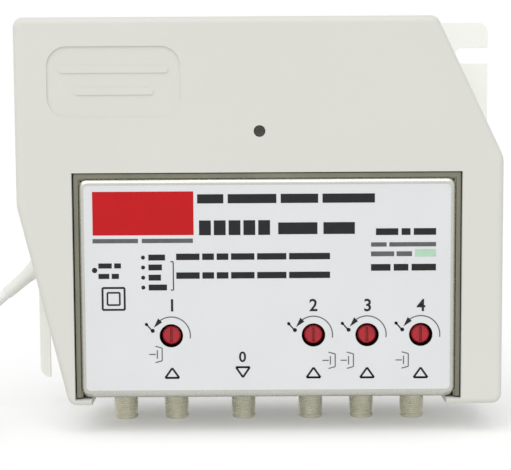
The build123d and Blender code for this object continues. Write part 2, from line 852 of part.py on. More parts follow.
# Tuning coils: grooved formers on two legs
former_y = board_front - coil_former
with BuildPart() as tuning_coils:
    for x, z in tuning_places:
        with Locations(Plane(origin=(x, former_y, z), x_dir=(0, 1, 0), z_dir=(1, 0, 0))):
            Cylinder(coil_former / 2, coil_former_length)
            Hole(coil_former_bore / 2)
        for turn in range(coil_grooves):
            groove_x = x + coil_former_length * ((turn + 1) / (coil_grooves + 1) - 1 / 2)
            with Locations(Plane(origin=(groove_x, former_y, z), x_dir=(0, 1, 0), z_dir=(1, 0, 0))):
                Torus(coil_former / 2, coil_groove)
        for side in (-1, 1):
            leg_x = x + side * (coil_former_length - coil_leg) / 2
            with Locations((leg_x, board_front, z - coil_former / 2 + coil_leg / 2)):
                Box(
                    coil_leg,
                    coil_former,
                    coil_leg,
                    align=(Align.CENTER, Align.MAX, Align.CENTER),
                )
write_part(tuning_coils.part, "tuning_coils")

# Amplifier chips with four legs each
with BuildPart() as amplifier_chips:
    with Locations(*spots(chip_places, board_front)):
        Box(chip_width, chip_length, chip_height, align=(Align.CENTER, Align.CENTER, Align.MIN))
        with GridLocations(chip_width + chip_leg_reach, chip_length / 2, 2, 2):
            Box(
                2 * chip_leg_reach,
                chip_leg_width,
                chip_leg_height,
                align=(Align.CENTER, Align.CENTER, Align.MIN),
            )
write_part(amplifier_chips.part, "amplifier_chips")

# Ceramic disc capacitors standing on their legs
with BuildPart() as disc_capacitors:
    for x, z in disc_places:
        with Locations((x, board_front - disc_stand - disc_diameter / 2, z)):
            Cylinder(disc_diameter / 2, disc_thickness)
        with Locations((x, board_front, z)):
            with GridLocations(disc_diameter / 2, 0, 2, 1):
                Box(
                    disc_leg,
                    disc_stand + disc_diameter / 2,
                    disc_leg,
                    align=(Align.CENTER, Align.MAX, Align.CENTER),
                )
write_part(disc_capacitors.part, "disc_capacitors")

# Feed through capacitor that brings the supply into the case
with BuildPart() as feed_capacitor:
    with Locations((feed_x, feed_y, case_top)):
        Cylinder(
            feed_flange / 2, feed_flange_height, align=(Align.CENTER, Align.CENTER, Align.MIN)
        )
        Cylinder(feed_body / 2, feed_reach, align=(Align.CENTER, Align.CENTER, Align.MAX))
        Cylinder(feed_body / 2, feed_reach / 2, align=(Align.CENTER, Align.CENTER, Align.MIN))
        Cylinder(feed_pin / 2, feed_pin_reach, align=(Align.CENTER, Align.CENTER, Align.MIN))
        Cylinder(
            feed_pin / 2, feed_reach + feed_tail, align=(Align.CENTER, Align.CENTER, Align.MAX)
        )
write_part(feed_capacitor.part, "feed_capacitor")

# Transformer core: E and I sheets stacked along Z, the centre leg along Y
core_mid_y = (core_front + core_back) / 2
leg_width = (core_width - 2 * core_window_width) / 2
with BuildPart() as transformer_core:
    with BuildSketch(Plane.XY.offset(transformer_z)):
        with Locations((transformer_x, core_mid_y)):
            Rectangle(core_width, core_height)
            with GridLocations(leg_width + core_window_width, 0, 2, 1):
                Rectangle(core_window_width, core_window_height, mode=Mode.SUBTRACT)
    extrude(amount=core_stack / 2, both=True)
write_part(transformer_core.part, "transformer_core")

# Bobbin: a square tube on the centre leg with three flanges
bobbin_back = core_mid_y + core_window_height / 2 - fit_gap / 2
bobbin_length = core_window_height - fit_gap
tube_width = leg_width + 2 * bobbin_wall
tube_height = core_stack + 2 * bobbin_wall
flange_width = leg_width + 2 * core_window_width - 2 * fit_gap
flange_height = core_stack + 2 * bobbin_overhang
split_y = bobbin_back - bobbin_length * chamber_share
with BuildPart() as transformer_bobbin:
    with BuildSketch(facing(bobbin_back)):
        with Locations((transformer_x, transformer_z)):
            Rectangle(tube_width, tube_height)
    extrude(amount=bobbin_length)
    for flange_y in (bobbin_back, split_y, bobbin_back - bobbin_length + bobbin_wall):
        with BuildSketch(facing(flange_y)):
            with Locations((transformer_x, transformer_z)):
                Rectangle(flange_width, flange_height)
        extrude(amount=bobbin_wall)
    with BuildSketch(facing(bobbin_back)):
        with Locations((transformer_x, transformer_z)):
            Rectangle(leg_width, core_stack)
    extrude(amount=bobbin_length, mode=Mode.SUBTRACT)
write_part(transformer_bobbin.part, "transformer_bobbin")

# Windings, one in each chamber
chambers = [
    (bobbin_back - bobbin_wall, bobbin_back - bobbin_wall - split_y),
    (split_y - bobbin_wall, split_y - bobbin_wall - (bobbin_back - bobbin_length + bobbin_wall)),
]
with BuildPart() as transformer_windings:
    for chamber_back, chamber_length in chambers:
        with BuildSketch(facing(chamber_back)):
            with Locations((transformer_x, transformer_z)):
                RectangleRounded(
                    flange_width - 2 * winding_inset, flange_height - 2 * winding_inset, winding_corner
                )
                Rectangle(tube_width, tube_height, mode=Mode.SUBTRACT)
        extrude(amount=chamber_length)
write_part(transformer_windings.part, "transformer_windings")

# Clamp: a steel strap over the core with a foot at each side
with BuildPart() as transformer_clamp:
    with BuildSketch(Plane.XY.offset(transformer_z)):
        with Locations((transformer_x, core_back)):
            Rectangle(
                core_width + 2 * clamp_thickness,
                core_height + clamp_thickness,
                align=(Align.CENTER, Align.MAX),
            )
            Rectangle(
                core_width + 2 * clamp_thickness + 2 * clamp_foot,
                clamp_thickness,
                align=(Align.CENTER, Align.MAX),
            )
            Rectangle(core_width, core_height, align=(Align.CENTER, Align.MAX), mode=Mode.SUBTRACT)
    extrude(amount=clamp_width / 2, both=True)
    with Locations(*spots(foot_places, core_back - clamp_thickness)):
        Hole(small_screw / 2 + fit_gap, depth=clamp_thickness)
write_part(transformer_clamp.part, "transformer_clamp")

with BuildPart() as transformer_screws:
    add_screws(
        spots(foot_places, core_back - clamp_thickness),
        small_head,
        small_head_height,
        small_screw,
        clamp_thickness + transformer_foot,
    )
write_part(transformer_screws.part, "transformer_screws")

# Power board on four bosses
with BuildPart() as power_board:
    with BuildSketch(facing(power_back)):
        with Locations((power_x, power_z)):
            RectangleRounded(power_width, power_height, power_corner)
        with Locations(*power_screw_places):
            Circle(small_screw / 2 + fit_gap, mode=Mode.SUBTRACT)
    extrude(amount=board_thickness)
write_part(power_board.part, "power_board")

with BuildPart() as power_screws:
    add_screws(
        spots(power_screw_places, power_front),
        small_head,
        small_head_height,
        small_screw,
        board_thickness + power_stand - overrun,
    )
write_part(power_screws.part, "power_screws")

# Electrolytic capacitors, each with the rolled groove near its foot
with BuildPart() as reservoir_capacitors:
    for (x, z), across, tall in zip(reservoir_places, reservoir_diameters, reservoir_heights):
        with Locations(spot(x, power_front, z)):
            Cylinder(across / 2, tall, align=(Align.CENTER, Align.CENTER, Align.MIN))
        with Locations(spot(x, power_front - reservoir_rim, z)):
            Torus(across / 2 + reservoir_groove / 2, reservoir_groove, mode=Mode.SUBTRACT)
write_part(reservoir_capacitors.part, "reservoir_capacitors")

# Rectifier diodes, lying on the board on bent leads
with BuildPart() as rectifier_diodes:
    for x, z in diode_places:
        with Locations(
            Plane(origin=(x, power_front - diode_diameter / 2, z), x_dir=(0, 1, 0), z_dir=(1, 0, 0))
        ):
            Cylinder(diode_diameter / 2, diode_length)
            Cylinder(diode_lead / 2, diode_length + 2 * diode_lead_reach)
        for side in (-1, 1):
            with Locations((x + side * (diode_length / 2 + diode_lead_reach), power_front, z)):
                Box(
                    diode_lead,
                    diode_diameter / 2 + diode_lead / 2,
                    diode_lead,
                    align=(Align.CENTER, Align.MAX, Align.CENTER),
                )
write_part(rectifier_diodes.part, "rectifier_diodes")

# Voltage regulator, standing on three legs against its heat sink
regulator_foot = power_front - regulator_leg_height
with BuildPart() as voltage_regulator:
    with Locations((regulator_x, regulator_foot, regulator_z)):
        Box(
            regulator_width,
            regulator_height,
            regulator_depth,
            align=(Align.CENTER, Align.MAX, Align.MIN),
        )
    with Locations((regulator_x, regulator_foot - regulator_height, regulator_z + regulator_depth)):
        Box(
            regulator_width,
            regulator_tab_height,
            regulator_tab,
            align=(Align.CENTER, Align.MAX, Align.MAX),
        )
    with Locations((regulator_x, power_front, regulator_z + regulator_depth / 2)):
        with GridLocations(regulator_width / 4, 0, 3, 1):
            Box(
                regulator_leg,
                regulator_leg_height,
                regulator_leg,
                align=(Align.CENTER, Align.MAX, Align.CENTER),
            )
write_part(voltage_regulator.part, "voltage_regulator")

# Heat sink: an aluminium U behind the regulator
sink_bottom = regulator_z + regulator_depth
with BuildPart() as heat_sink:
    with BuildSketch(facing(power_front)):
        with Locations((regulator_x, sink_bottom)):
            Rectangle(sink_width, sink_wall, align=(Align.CENTER, Align.MIN))
        with Locations((regulator_x, sink_bottom + sink_wall)):
            with GridLocations(sink_width - sink_wall, 0, 2, 1):
                Rectangle(sink_wall, 2 * sink_arm, align=(Align.CENTER, Align.CENTER))
    extrude(amount=sink_height)
write_part(heat_sink.part, "heat_sink")

# Fuse in two spring clips
fuse_y = power_front - clip_stand - fuse_diameter / 2
fuse_plane = Plane(origin=(fuse_x, fuse_y, fuse_z), x_dir=(0, 1, 0), z_dir=(1, 0, 0))
with BuildPart() as fuse_glass:
    with Locations(fuse_plane):
        Cylinder(fuse_diameter / 2 - fuse_cap_wall, fuse_length - 2 * fuse_cap_wall)
write_part(fuse_glass.part, "fuse_glass")

with BuildPart() as fuse_caps:
    for side in (-1, 1):
        cap_x = fuse_x + side * (fuse_length - fuse_cap) / 2
        with Locations(Plane(origin=(cap_x, fuse_y, fuse_z), x_dir=(0, 1, 0), z_dir=(1, 0, 0))):
            Cylinder(fuse_diameter / 2, fuse_cap)
    with Locations(fuse_plane):
        Cylinder(
            fuse_diameter / 2 - fuse_cap_wall, fuse_length - 2 * fuse_cap_wall, mode=Mode.SUBTRACT
        )
write_part(fuse_caps.part, "fuse_caps")

with BuildPart() as fuse_clips:
    for side in (-1, 1):
        clip_x = fuse_x + side * (fuse_length - fuse_cap) / 2
        with BuildSketch(Plane.YZ.offset(clip_x)):
            with Locations((power_front, fuse_z)):
                Rectangle(
                    clip_stand + fuse_diameter,
                    fuse_diameter + 2 * clip_wall,
                    align=(Align.MAX, Align.CENTER),
                )
            with Locations((fuse_y, fuse_z)):
                Circle(fuse_diameter / 2, mode=Mode.SUBTRACT)
                Rectangle(
                    fuse_diameter, fuse_diameter, align=(Align.MAX, Align.CENTER), mode=Mode.SUBTRACT
                )
        extrude(amount=clip_width / 2, both=True)
write_part(fuse_clips.part, "fuse_clips")

# Bend relief of the mains lead: a grommet in the wall's notch and a tapered boot
with BuildPart() as strain_relief:
    with BuildSketch(Plane(origin=exit_point - wall_out * wall, z_dir=wall_out)):
        Circle(neck_diameter / 2)
    extrude(amount=wall)
    with BuildSketch(Plane(origin=inner_end, x_dir=(0, 1, 0), z_dir=wall_out)):
        Circle(relief_flange / 2)
        with Locations((plate_front - exit_y, 0)):
            Rectangle(relief_flange, relief_flange, align=(Align.MIN, Align.CENTER), mode=Mode.SUBTRACT)
    extrude(amount=relief_flange_height)
    with BuildSketch(Plane(origin=exit_point, x_dir=(0, 1, 0), z_dir=wall_out)):
        Circle(relief_lip / 2)
        with Locations((plate_front - exit_y, 0)):
            Rectangle(relief_lip, relief_lip, align=(Align.MIN, Align.CENTER), mode=Mode.SUBTRACT)
    extrude(amount=relief_lip_height)
    with BuildSketch(Plane(origin=exit_point, x_dir=cord_out, z_dir=(0, 1, 0))):
        with BuildLine():
            Polyline(
                (relief_grip, relief_grip_diameter / 2),
                (0, relief_grip_diameter / 2),
                (0, 0),
                (relief_length, 0),
                (relief_length, relief_tip_diameter / 2),
            )
            Spline(
                (relief_grip, relief_grip_diameter / 2),
                (relief_waist, relief_waist_diameter / 2),
                (relief_length, relief_tip_diameter / 2),
                tangents=((1, 0), (1, 0)),
            )
        make_face()
    revolve(axis=Axis(exit_point, cord_out))
write_part(strain_relief.part, "strain_relief")

# The lead's sheath goes on inside, under a clamp bar on two bosses
sheath_end = inner_end - wall_out * inner_sheath
with BuildPart() as inner_lead:
    with BuildSketch(Plane(origin=inner_end, z_dir=-wall_out)):
        Circle(cord_diameter / 2)
    extrude(amount=inner_sheath)
write_part(inner_lead.part, "inner_lead")

with BuildPart() as lead_clamp:
    with BuildSketch(Plane(origin=(bar_mid.X, bar_back, bar_mid.Z), x_dir=-wall_out, z_dir=(0, -1, 0))):
        RectangleRounded(bar_width, bar_length, bar_width / 3)
    extrude(amount=bar_thickness)
    with Locations(*spots(bar_screw_places, bar_back - bar_thickness)):
        Hole(small_screw / 2 + fit_gap, depth=bar_thickness)
write_part(lead_clamp.part, "lead_clamp")

with BuildPart() as clamp_screws:
    add_screws(
        spots(bar_screw_places, bar_back - bar_thickness),
        small_head,
        small_head_height,
        small_screw,
        small_screw_length,
    )
write_part(clamp_screws.part, "clamp_screws")

# Wires inside the housing: bends laid by hand as shares of the way between their two ends
def part_way(start, end, shares):
    """Points between two ends, at a share of the way along each axis."""
    return [
        (
            start.X + (end.X - start.X) * across,
            start.Y + (end.Y - start.Y) * back,
            start.Z + (end.Z - start.Z) * up,
        )
        for across, back, up in shares
    ]


def beside(points, apart):
    """A route next to another one, shifted square to it in the plane of the base plate."""
    shifted = []
    for index, here in enumerate(points):
        before = Vector(*points[max(index - 1, 0)])
        after = Vector(*points[min(index + 1, len(points) - 1)])
        along = Vector(after.X - before.X, 0, after.Z - before.Z).normalized()
        step = Vector(-along.Z, 0, along.X) * apart
        shifted.append((here[0] + step.X, here[1], here[2] + step.Z))
    return shifted


pad_y = power_front - wire_diameter / 2
mains_bend = sheath_end - wall_out * wire_straight
mains_pad = Vector(power_left + mains_pad_inset, pad_y, power_bottom + mains_pad_rise)
mains_middle = (
    [(sheath_end.X, sheath_end.Y, sheath_end.Z), (mains_bend.X, mains_bend.Y, mains_bend.Z)]
    + part_way(mains_bend, mains_pad, mains_shares)
    + [(mains_pad.X, mains_pad.Y, mains_pad.Z)]
)
mains_routes = [beside(mains_middle, side * wire_pitch / 2) for side in (-1, 1)]
winding_right = transformer_x + leg_width / 2 + core_window_width - fit_gap - winding_inset
winding_end = Vector(winding_right, -winding_wire_drop + wire_pitch / 2, transformer_z + winding_wire_rise)
winding_pad = Vector(power_left + winding_pad_inset, pad_y, power_z + winding_pad_rise)
transformer_routes = []
for number in (0, 1):
    step = number * wire_pitch - winding_wire_drop
    drift = step - winding_end.Y
    middle = part_way(winding_end, winding_pad, winding_shares)
    transformer_routes.append(
        [(winding_end.X, step, winding_end.Z)]
        + [(x, y + drift, z - step * fall) for (x, y, z), fall in zip(middle, winding_fall_shares)]
        + [(winding_pad.X, winding_pad.Y, winding_pad.Z - step)]
    )
supply_pad = Vector(power_x + supply_pad_x, pad_y, power_bottom + supply_pad_rise)
supply_end = Vector(feed_x, feed_y, case_top + feed_pin_reach)
supply_bend = Vector(feed_x, feed_y, case_top + feed_pin_reach + supply_stand)
supply_routes = [
    [(supply_pad.X, supply_pad.Y, supply_pad.Z)]
    + part_way(supply_pad, supply_bend, supply_shares)
    + [(supply_bend.X, supply_bend.Y, supply_bend.Z), (supply_end.X, supply_end.Y, supply_end.Z)]
]
for name, routes in (
    ("mains_wires", mains_routes),
    ("transformer_wires", transformer_routes),
    ("supply_wire", supply_routes),
):
    with BuildPart() as wires:
        for route in routes:
            add(lead(route, wire_diameter)[0])
    write_part(wires.part, name)

# Free stretch of the mains lead, from the boot's tip down to the floor
lead_points = [
    (cord_start.X, cord_start.Y, cord_start.Z),
    (lead_bend.X, lead_bend.Y, lead_bend.Z),
    *part_way(lead_bend, Vector(coil_x, coil_y + coil_outer, coil_floor_z), lead_shares),
    (coil_x + cord_diameter, coil_y + coil_outer, coil_floor_z),
]
cord_tube, cord_tube_length = lead(lead_points, cord_diameter)
write_part(cord_tube, "mains_cord")

# The coil: in by half turns on the floor, up a layer in the half turn where it reverses, and out
inward_radii = [coil_outer - coil_pitch * (2 * half + 1) / 4 for half in range(coil_inward_halves)]
climb_radius = inward_radii[-1] - coil_pitch / 2
first_out = climb_radius + coil_reverse_step
outward_radii = [first_out] + [
    first_out + coil_reopen_step + coil_pitch / 2 * half for half in range(coil_outward_halves - 1)
]
with BuildPart() as cord_coil:
    with BuildLine() as winding:
        strand = Line(
            (coil_x + cord_diameter, coil_y + coil_outer, coil_floor_z),
            (coil_x, coil_y + coil_outer, coil_floor_z),
        )
        toward = -1
        for radius in inward_radii:
            end = strand @ 1 + Vector(0, toward * 2 * radius, 0)
            strand = TangentArc(strand @ 1, end, tangent=strand % 1)
            toward = -toward
        low = strand @ 1
        side_point = low + Vector(hypot(climb_radius, coil_pitch / 2), climb_radius, coil_pitch / 2)
        strand = TangentArc(low, side_point, tangent=strand % 1)
        strand = TangentArc(
            side_point, low + Vector(0, 2 * climb_radius, coil_pitch), tangent=strand % 1
        )
        toward = -toward
        for radius in outward_radii:
            end = strand @ 1 + Vector(0, toward * 2 * radius, 0)
            strand = TangentArc(strand @ 1, end, tangent=strand % 1)
            toward = -toward
        coil_end = strand @ 1
        Line(coil_end, coil_end + Vector(-cord_diameter, 0, 0))
    with BuildSketch(Plane(origin=winding.line @ 0, z_dir=winding.line % 0)):
        Circle(cord_diameter / 2)
    sweep()
write_part(cord_coil.part, "cord_coil")

# Off the coil, round its left side and on to it, up to the height of the plug that lies on it
plug_y = coil_y + coil_outer * tail_shares[-1][1]
plug_axis_z = coil_top_z + cord_diameter / 2 + plug_clear + plug_height / 2
plug_start = coil_x - cord_diameter
tail_points = [
    (coil_end.X - cord_diameter, coil_end.Y, coil_end.Z),
    (coil_end.X - cord_diameter - tail_run, coil_end.Y, coil_end.Z),
    *[
        (coil_x + coil_outer * x, coil_y + coil_outer * y, coil_top_z + (plug_axis_z - coil_top_z) * z)
        for x, y, z in tail_shares
    ],
    (plug_start, plug_y, plug_axis_z),
]
tail_tube, tail_tube_length = lead(tail_points, cord_diameter)
write_part(tail_tube, "cord_tail")

# Plug: a flat two pin body that widens from its boot to the pin face
plug_back = plug_start + plug_boot
plug_face = plug_back + plug_length
with BuildPart() as plug_body:
    for station, across, tall in zip(plug_station_shares, plug_width_shares, plug_height_shares):
        station_plane = Plane(
            origin=(plug_back + plug_length * station, plug_y, plug_axis_z), x_dir=(0, 1, 0), z_dir=(1, 0, 0)
        )
        with BuildSketch(station_plane):
            RectangleRounded(
                plug_width * across, plug_height * tall, plug_corner_share * plug_height * tall
            )
    loft()
    with BuildSketch(Plane(origin=(plug_face, plug_y, plug_axis_z), x_dir=(0, 1, 0), z_dir=(-1, 0, 0))):
        RectangleRounded(plug_width, plug_height, plug_corner_share * plug_height)
    extrude(amount=plug_length * (1 - plug_station_shares[-1]))
    fillet(plug_body.faces().sort_by(Axis.X)[-1].edges(), radius=plug_rim)
    with BuildSketch(Plane(origin=(plug_back, plug_y, plug_axis_z), z_dir=(-1, 0, 0))):
        Circle(plug_boot_diameter / 2)
    with BuildSketch(Plane(origin=(plug_start, plug_y, plug_axis_z), z_dir=(-1, 0, 0))):
        Circle(plug_boot_tip / 2)
    loft()
write_part(plug_body.part, "plug_body")

with BuildPart() as plug_pins:
    for side in (-1, 1):
        pin_start = (plug_face, plug_y + side * pin_spacing / 2, plug_axis_z)
        with BuildSketch(Plane(origin=pin_start, z_dir=(1, 0, 0))):
            Circle(pin_diameter / 2)
        extrude(amount=pin_length)
    chamfer(plug_pins.edges().group_by(Axis.X)[-1], length=pin_tip)
write_part(plug_pins.part, "plug_pins")


def least_gap(line, diameter, steps, apart):
    """Smallest gap between strands of a wound lead, measured on points along it."""
    points = [line.position_at(step / steps) for step in range(steps + 1)]
    spacing = line.length / steps
    skip = int(apart / spacing)
    nearest = min(
        (points[i] - points[j]).length for i in range(steps) for j in range(i + skip, steps + 1)
    )
    return nearest - diameter


section = pi * cord_diameter**2 / 4
coil_length = winding.wire().length
for name, points in (("mains_cord", lead_points), ("cord_tail", tail_points)):
    print(name, "bend radii", [round(radius, 1) for radius in corner_radii(points)])
print("coil radii", [round(radius, 1) for radius in inward_radii + [climb_radius] + outward_radii])
print("coil gap", round(least_gap(winding.wire(), cord_diameter, gap_samples, pi * climb_radius), 2))
print("lead length", round(relief_length + cord_tube_length + coil_length + tail_tube_length, 1))
print("tube volumes over section times length", [
    round(solid.volume / (section * length), 3)
    for solid, length in (
        (cord_tube, cord_tube_length),
        (cord_coil.part, coil_length),
        (tail_tube, tail_tube_length),
    )
])
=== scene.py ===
from math import atan2, cos, hypot, pi, radians, sin

import bmesh
import bpy
from mathutils import Matrix, Vector


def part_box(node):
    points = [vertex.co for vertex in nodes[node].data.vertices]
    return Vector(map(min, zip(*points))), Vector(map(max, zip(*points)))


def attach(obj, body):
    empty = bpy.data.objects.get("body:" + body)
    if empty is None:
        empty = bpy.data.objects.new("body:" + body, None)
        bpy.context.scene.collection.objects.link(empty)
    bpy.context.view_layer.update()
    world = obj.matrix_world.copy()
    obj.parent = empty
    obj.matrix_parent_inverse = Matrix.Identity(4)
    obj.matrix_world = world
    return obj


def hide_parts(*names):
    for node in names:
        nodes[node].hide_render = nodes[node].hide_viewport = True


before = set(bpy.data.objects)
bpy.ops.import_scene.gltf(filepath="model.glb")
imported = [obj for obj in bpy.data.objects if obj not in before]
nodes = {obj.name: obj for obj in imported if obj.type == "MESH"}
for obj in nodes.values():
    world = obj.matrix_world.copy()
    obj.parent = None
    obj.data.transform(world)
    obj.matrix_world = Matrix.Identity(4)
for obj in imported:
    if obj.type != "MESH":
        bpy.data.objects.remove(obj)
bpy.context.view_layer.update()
scene = bpy.context.scene

# CAMERA
# A long lens half a metre in front of the cover, a little above its middle and tipped down
# by five and a half degrees. The slight roll is that of the hand that held it.
camera_place = Vector((-0.0026, -0.540, 0.124))
camera_tip = radians(5.428)
camera_roll = radians(-0.33)
camera_data = bpy.data.cameras.new("camera")
camera_data.sensor_width = 36.0
camera_data.lens = 98.17
camera_data.clip_start = 0.01
camera = bpy.data.objects.new("camera", camera_data)
scene.collection.objects.link(camera)
camera.matrix_world = (
    Matrix.Translation(camera_place)
    @ Matrix.Rotation(pi / 2 - camera_tip, 4, "X")
    @ Matrix.Rotation(camera_roll, 4, "Z")
)
scene.camera = camera


# MAINS LEAD
# A round white two core lead with a smooth soft sheath. It comes out of its boot on the
# leaning side, drops to the floor and is put away in a two layer coil beside the amplifier.
def paint(red, green, blue):
    """A colour as a screen shows it, 0 to 255, turned into light."""
    shares = [value / 255 for value in (red, green, blue)]
    light = [s / 12.92 if s <= 0.04045 else ((s + 0.055) / 1.055) ** 2.4 for s in shares]
    return (*light, 1.0)


def finish(name, colour, rough, metal=0.0, mottle=0.04, cells=60.0, grain=2500.0, relief=0.00001):
    """A solid finish: the colour drifts a little over the piece, and fine grain breaks its gloss."""
    gloss_drift = 0.06
    material = bpy.data.materials.new(name)
    material.use_nodes = True
    tree = material.node_tree
    shader = tree.nodes["Principled BSDF"]
    shader.inputs["Metallic"].default_value = metal
    place = tree.nodes.new("ShaderNodeTexCoord")
    drift = tree.nodes.new("ShaderNodeTexNoise")
    drift.inputs["Scale"].default_value = cells
    drift.inputs["Detail"].default_value = 4.0
    tree.links.new(place.outputs["Object"], drift.inputs["Vector"])
    shades = tree.nodes.new("ShaderNodeValToRGB")
    darker, lighter = shades.color_ramp.elements
    darker.position = 0.3
    lighter.position = 0.7
    darker.color = (*[light * (1 - mottle) for light in colour[:3]], 1.0)
    lighter.color = (*[min(1.0, light * (1 + mottle)) for light in colour[:3]], 1.0)
    tree.links.new(drift.outputs["Fac"], shades.inputs["Fac"])
    tree.links.new(shades.outputs["Color"], shader.inputs["Base Color"])
    fine = tree.nodes.new("ShaderNodeTexNoise")
    fine.inputs["Scale"].default_value = grain
    fine.inputs["Detail"].default_value = 2.0
    tree.links.new(place.outputs["Object"], fine.inputs["Vector"])
    gloss = tree.nodes.new("ShaderNodeMapRange")
    gloss.inputs["To Min"].default_value = max(0.02, rough - gloss_drift)
    gloss.inputs["To Max"].default_value = min(1.0, rough + gloss_drift)
    tree.links.new(fine.outputs["Fac"], gloss.inputs["Value"])
    tree.links.new(gloss.outputs["Result"], shader.inputs["Roughness"])
    bump = tree.nodes.new("ShaderNodeBump")
    bump.inputs["Distance"].default_value = relief
    tree.links.new(fine.outputs["Fac"], bump.inputs["Height"])
    tree.links.new(bump.outputs["Normal"], shader.inputs["Normal"])
    return material


def round_lead(name, route, radius, material, slot, *stands_for, facets=4):
    """A round lead or wire: a smooth curve with the route's points as its control points."""
    curve = bpy.data.curves.new(name, "CURVE")
    curve.dimensions = "3D"
    curve.bevel_depth = radius
    curve.bevel_resolution = facets
    curve.resolution_u = 4
    curve.use_fill_caps = True
    spline = curve.splines.new("NURBS")
    spline.points.add(len(route) - 1)
    for point, place in zip(spline.points, route):
        point.co = (*place, 1.0)
    spline.order_u = 3
    spline.use_endpoint_u = True
    curve.materials.append(material)
    piece = bpy.data.objects.new(name, curve)
    scene.collection.objects.link(piece)
    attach(piece, "housing")
    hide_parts(*stands_for)
    return piece


lead_diameter = 0.0044
lead_floor = 0.00225
lead_exit = (-0.1006, 0.0210, 0.0501)
coil_middle = Vector((-0.164, -0.012))
coil_outer = 0.036
coil_pitch = 0.004857
inward_halves = 7
outward_halves = 6
reverse_step = 0.0016
reopen_step = 0.0034
half_turn_points = 8
tail_run = 0.012
plug_z = 0.016307
# bends of the far end, as shares of the coil's outer size and of the rise to the plug
tail_shares = [
    (-0.7697, 0.7661, 0.097),
    (-0.9894, 0.4947, 0.271),
    (-1.0681, 0.1542, 0.445),
    (-0.9894, -0.1864, 0.598),
    (-0.7697, -0.4578, 0.793),
    (-0.4556, -0.6111, 1.000),
]
# the free stretch, from the boot's tip down to the floor
lead_route = [
    lead_exit,
    (-0.10357, 0.0210, 0.04757),
    (-0.11123, 0.0210, 0.04114),
    (-0.1189, 0.0214, 0.0320),
    (-0.1250, 0.0219, 0.0217),
    (-0.1342, 0.0226, 0.0104),
    (-0.1414, 0.0232, 0.0051),
    (-0.1500, 0.0240, lead_floor),
    (-0.1596, 0.0240, lead_floor),
]
# the coil: in by half turns, up a layer in the half turn where it reverses, and out again
inward = [coil_outer - coil_pitch * (2 * half + 1) / 4 for half in range(inward_halves)]
climb = inward[-1] - coil_pitch / 2
first_out = climb + reverse_step
outward = [first_out]
outward += [first_out + reopen_step + coil_pitch / 2 * half for half in range(outward_halves - 1)]
turn_z = lead_floor
turn_start = coil_outer
side = -1
for number, radius in enumerate([*inward, climb, *outward]):
    turn_middle = turn_start + side * radius
    turn_rise = coil_pitch if number == inward_halves else 0.0
    # control points stand a little outside the turn that they make
    reach = radius / cos(pi / half_turn_points / 2)
    for point in range(half_turn_points):
        angle = pi * (point + 0.5) / half_turn_points
        lead_route.append(
            (
                coil_middle.x + side * reach * sin(angle),
                coil_middle.y + turn_middle - side * reach * cos(angle),
                turn_z + turn_rise * (1 - cos(angle)) / 2,
            )
        )
    turn_z += turn_rise
    turn_start += side * 2 * radius
    side = -side
coil_end = coil_middle.y + turn_start
# off the coil, round its side and on to it, as far as the plug
lead_route += [
    (coil_middle.x - lead_diameter, coil_end, turn_z),
    (coil_middle.x - lead_diameter - tail_run, coil_end, turn_z),
]
lead_route += [
    (
        coil_middle.x + coil_outer * across,
        coil_middle.y + coil_outer * back,
        turn_z + (plug_z - turn_z) * up,
    )
    for across, back, up in tail_shares
]
lead_route.append((coil_middle.x - lead_diameter, coil_middle.y + coil_outer * tail_shares[-1][1], plug_z))
sheath = finish("white_sheath", paint(244, 244, 242), 0.42, mottle=0.02, cells=25.0, grain=1800.0)
mains_lead = round_lead(
    "mains_lead",
    lead_route,
    lead_diameter / 2,
    sheath,
    "cord_sheath",
    "mains_cord",
    "cord_coil",
    "cord_tail",
    facets=5,
)


# PLUG
# A flat two pin mains plug, moulded on the end of the lead in glossy white plastic,
# with two round nickel plated pins. It lies on the coil.
def dress(names, material):
    """Give CAD parts their finish."""
    for name in names:
        for slot in nodes[name].material_slots:
            slot.material = material


plug_white = finish("plug_white", paint(226, 226, 221), 0.28, mottle=0.02, cells=40.0, grain=900.0)
pin_nickel = finish("pin_nickel", paint(196, 192, 182), 0.24, metal=1.0, mottle=0.05, grain=1500.0)
dress(["plug_body"], plug_white)
dress(["plug_pins"], pin_nickel)

# FLOOR AND LIGHT
# A plain white table that runs out of sight, an even white room and one broad lamp
# high in front. The table shows white, and keeps the soft shadow under the amplifier.
table_reach = 6.0
table_lift_share = 0.16
room_share = 0.60
floor_shape = bmesh.new()
bmesh.ops.create_grid(floor_shape, x_segments=1, y_segments=1, size=table_reach)
floor_mesh = bpy.data.meshes.new("table_top")
floor_shape.to_mesh(floor_mesh)
floor_shape.free()
table_top = bpy.data.objects.new("table_top", floor_mesh)
scene.collection.objects.link(table_top)
table_white = bpy.data.materials.new("table_white")
table_white.use_nodes = True
table_tree = table_white.node_tree
table_shader = table_tree.nodes["Principled BSDF"]
table_shader.inputs["Base Color"].default_value = (0.92, 0.92, 0.92, 1.0)
table_shader.inputs["Roughness"].default_value = 0.9
table_shader.inputs["Specular IOR Level"].default_value = 0.1
table_shader.inputs["Emission Color"].default_value = (1.0, 1.0, 1.0, 1.0)
table_seen = table_tree.nodes.new("ShaderNodeLightPath")
table_lift = table_tree.nodes.new("ShaderNodeMath")
table_lift.operation = "MULTIPLY"
table_lift.inputs[1].default_value = table_lift_share
table_tree.links.new(table_seen.outputs["Is Camera Ray"], table_lift.inputs[0])
table_tree.links.new(table_lift.outputs["Value"], table_shader.inputs["Emission Strength"])
floor_mesh.materials.append(table_white)

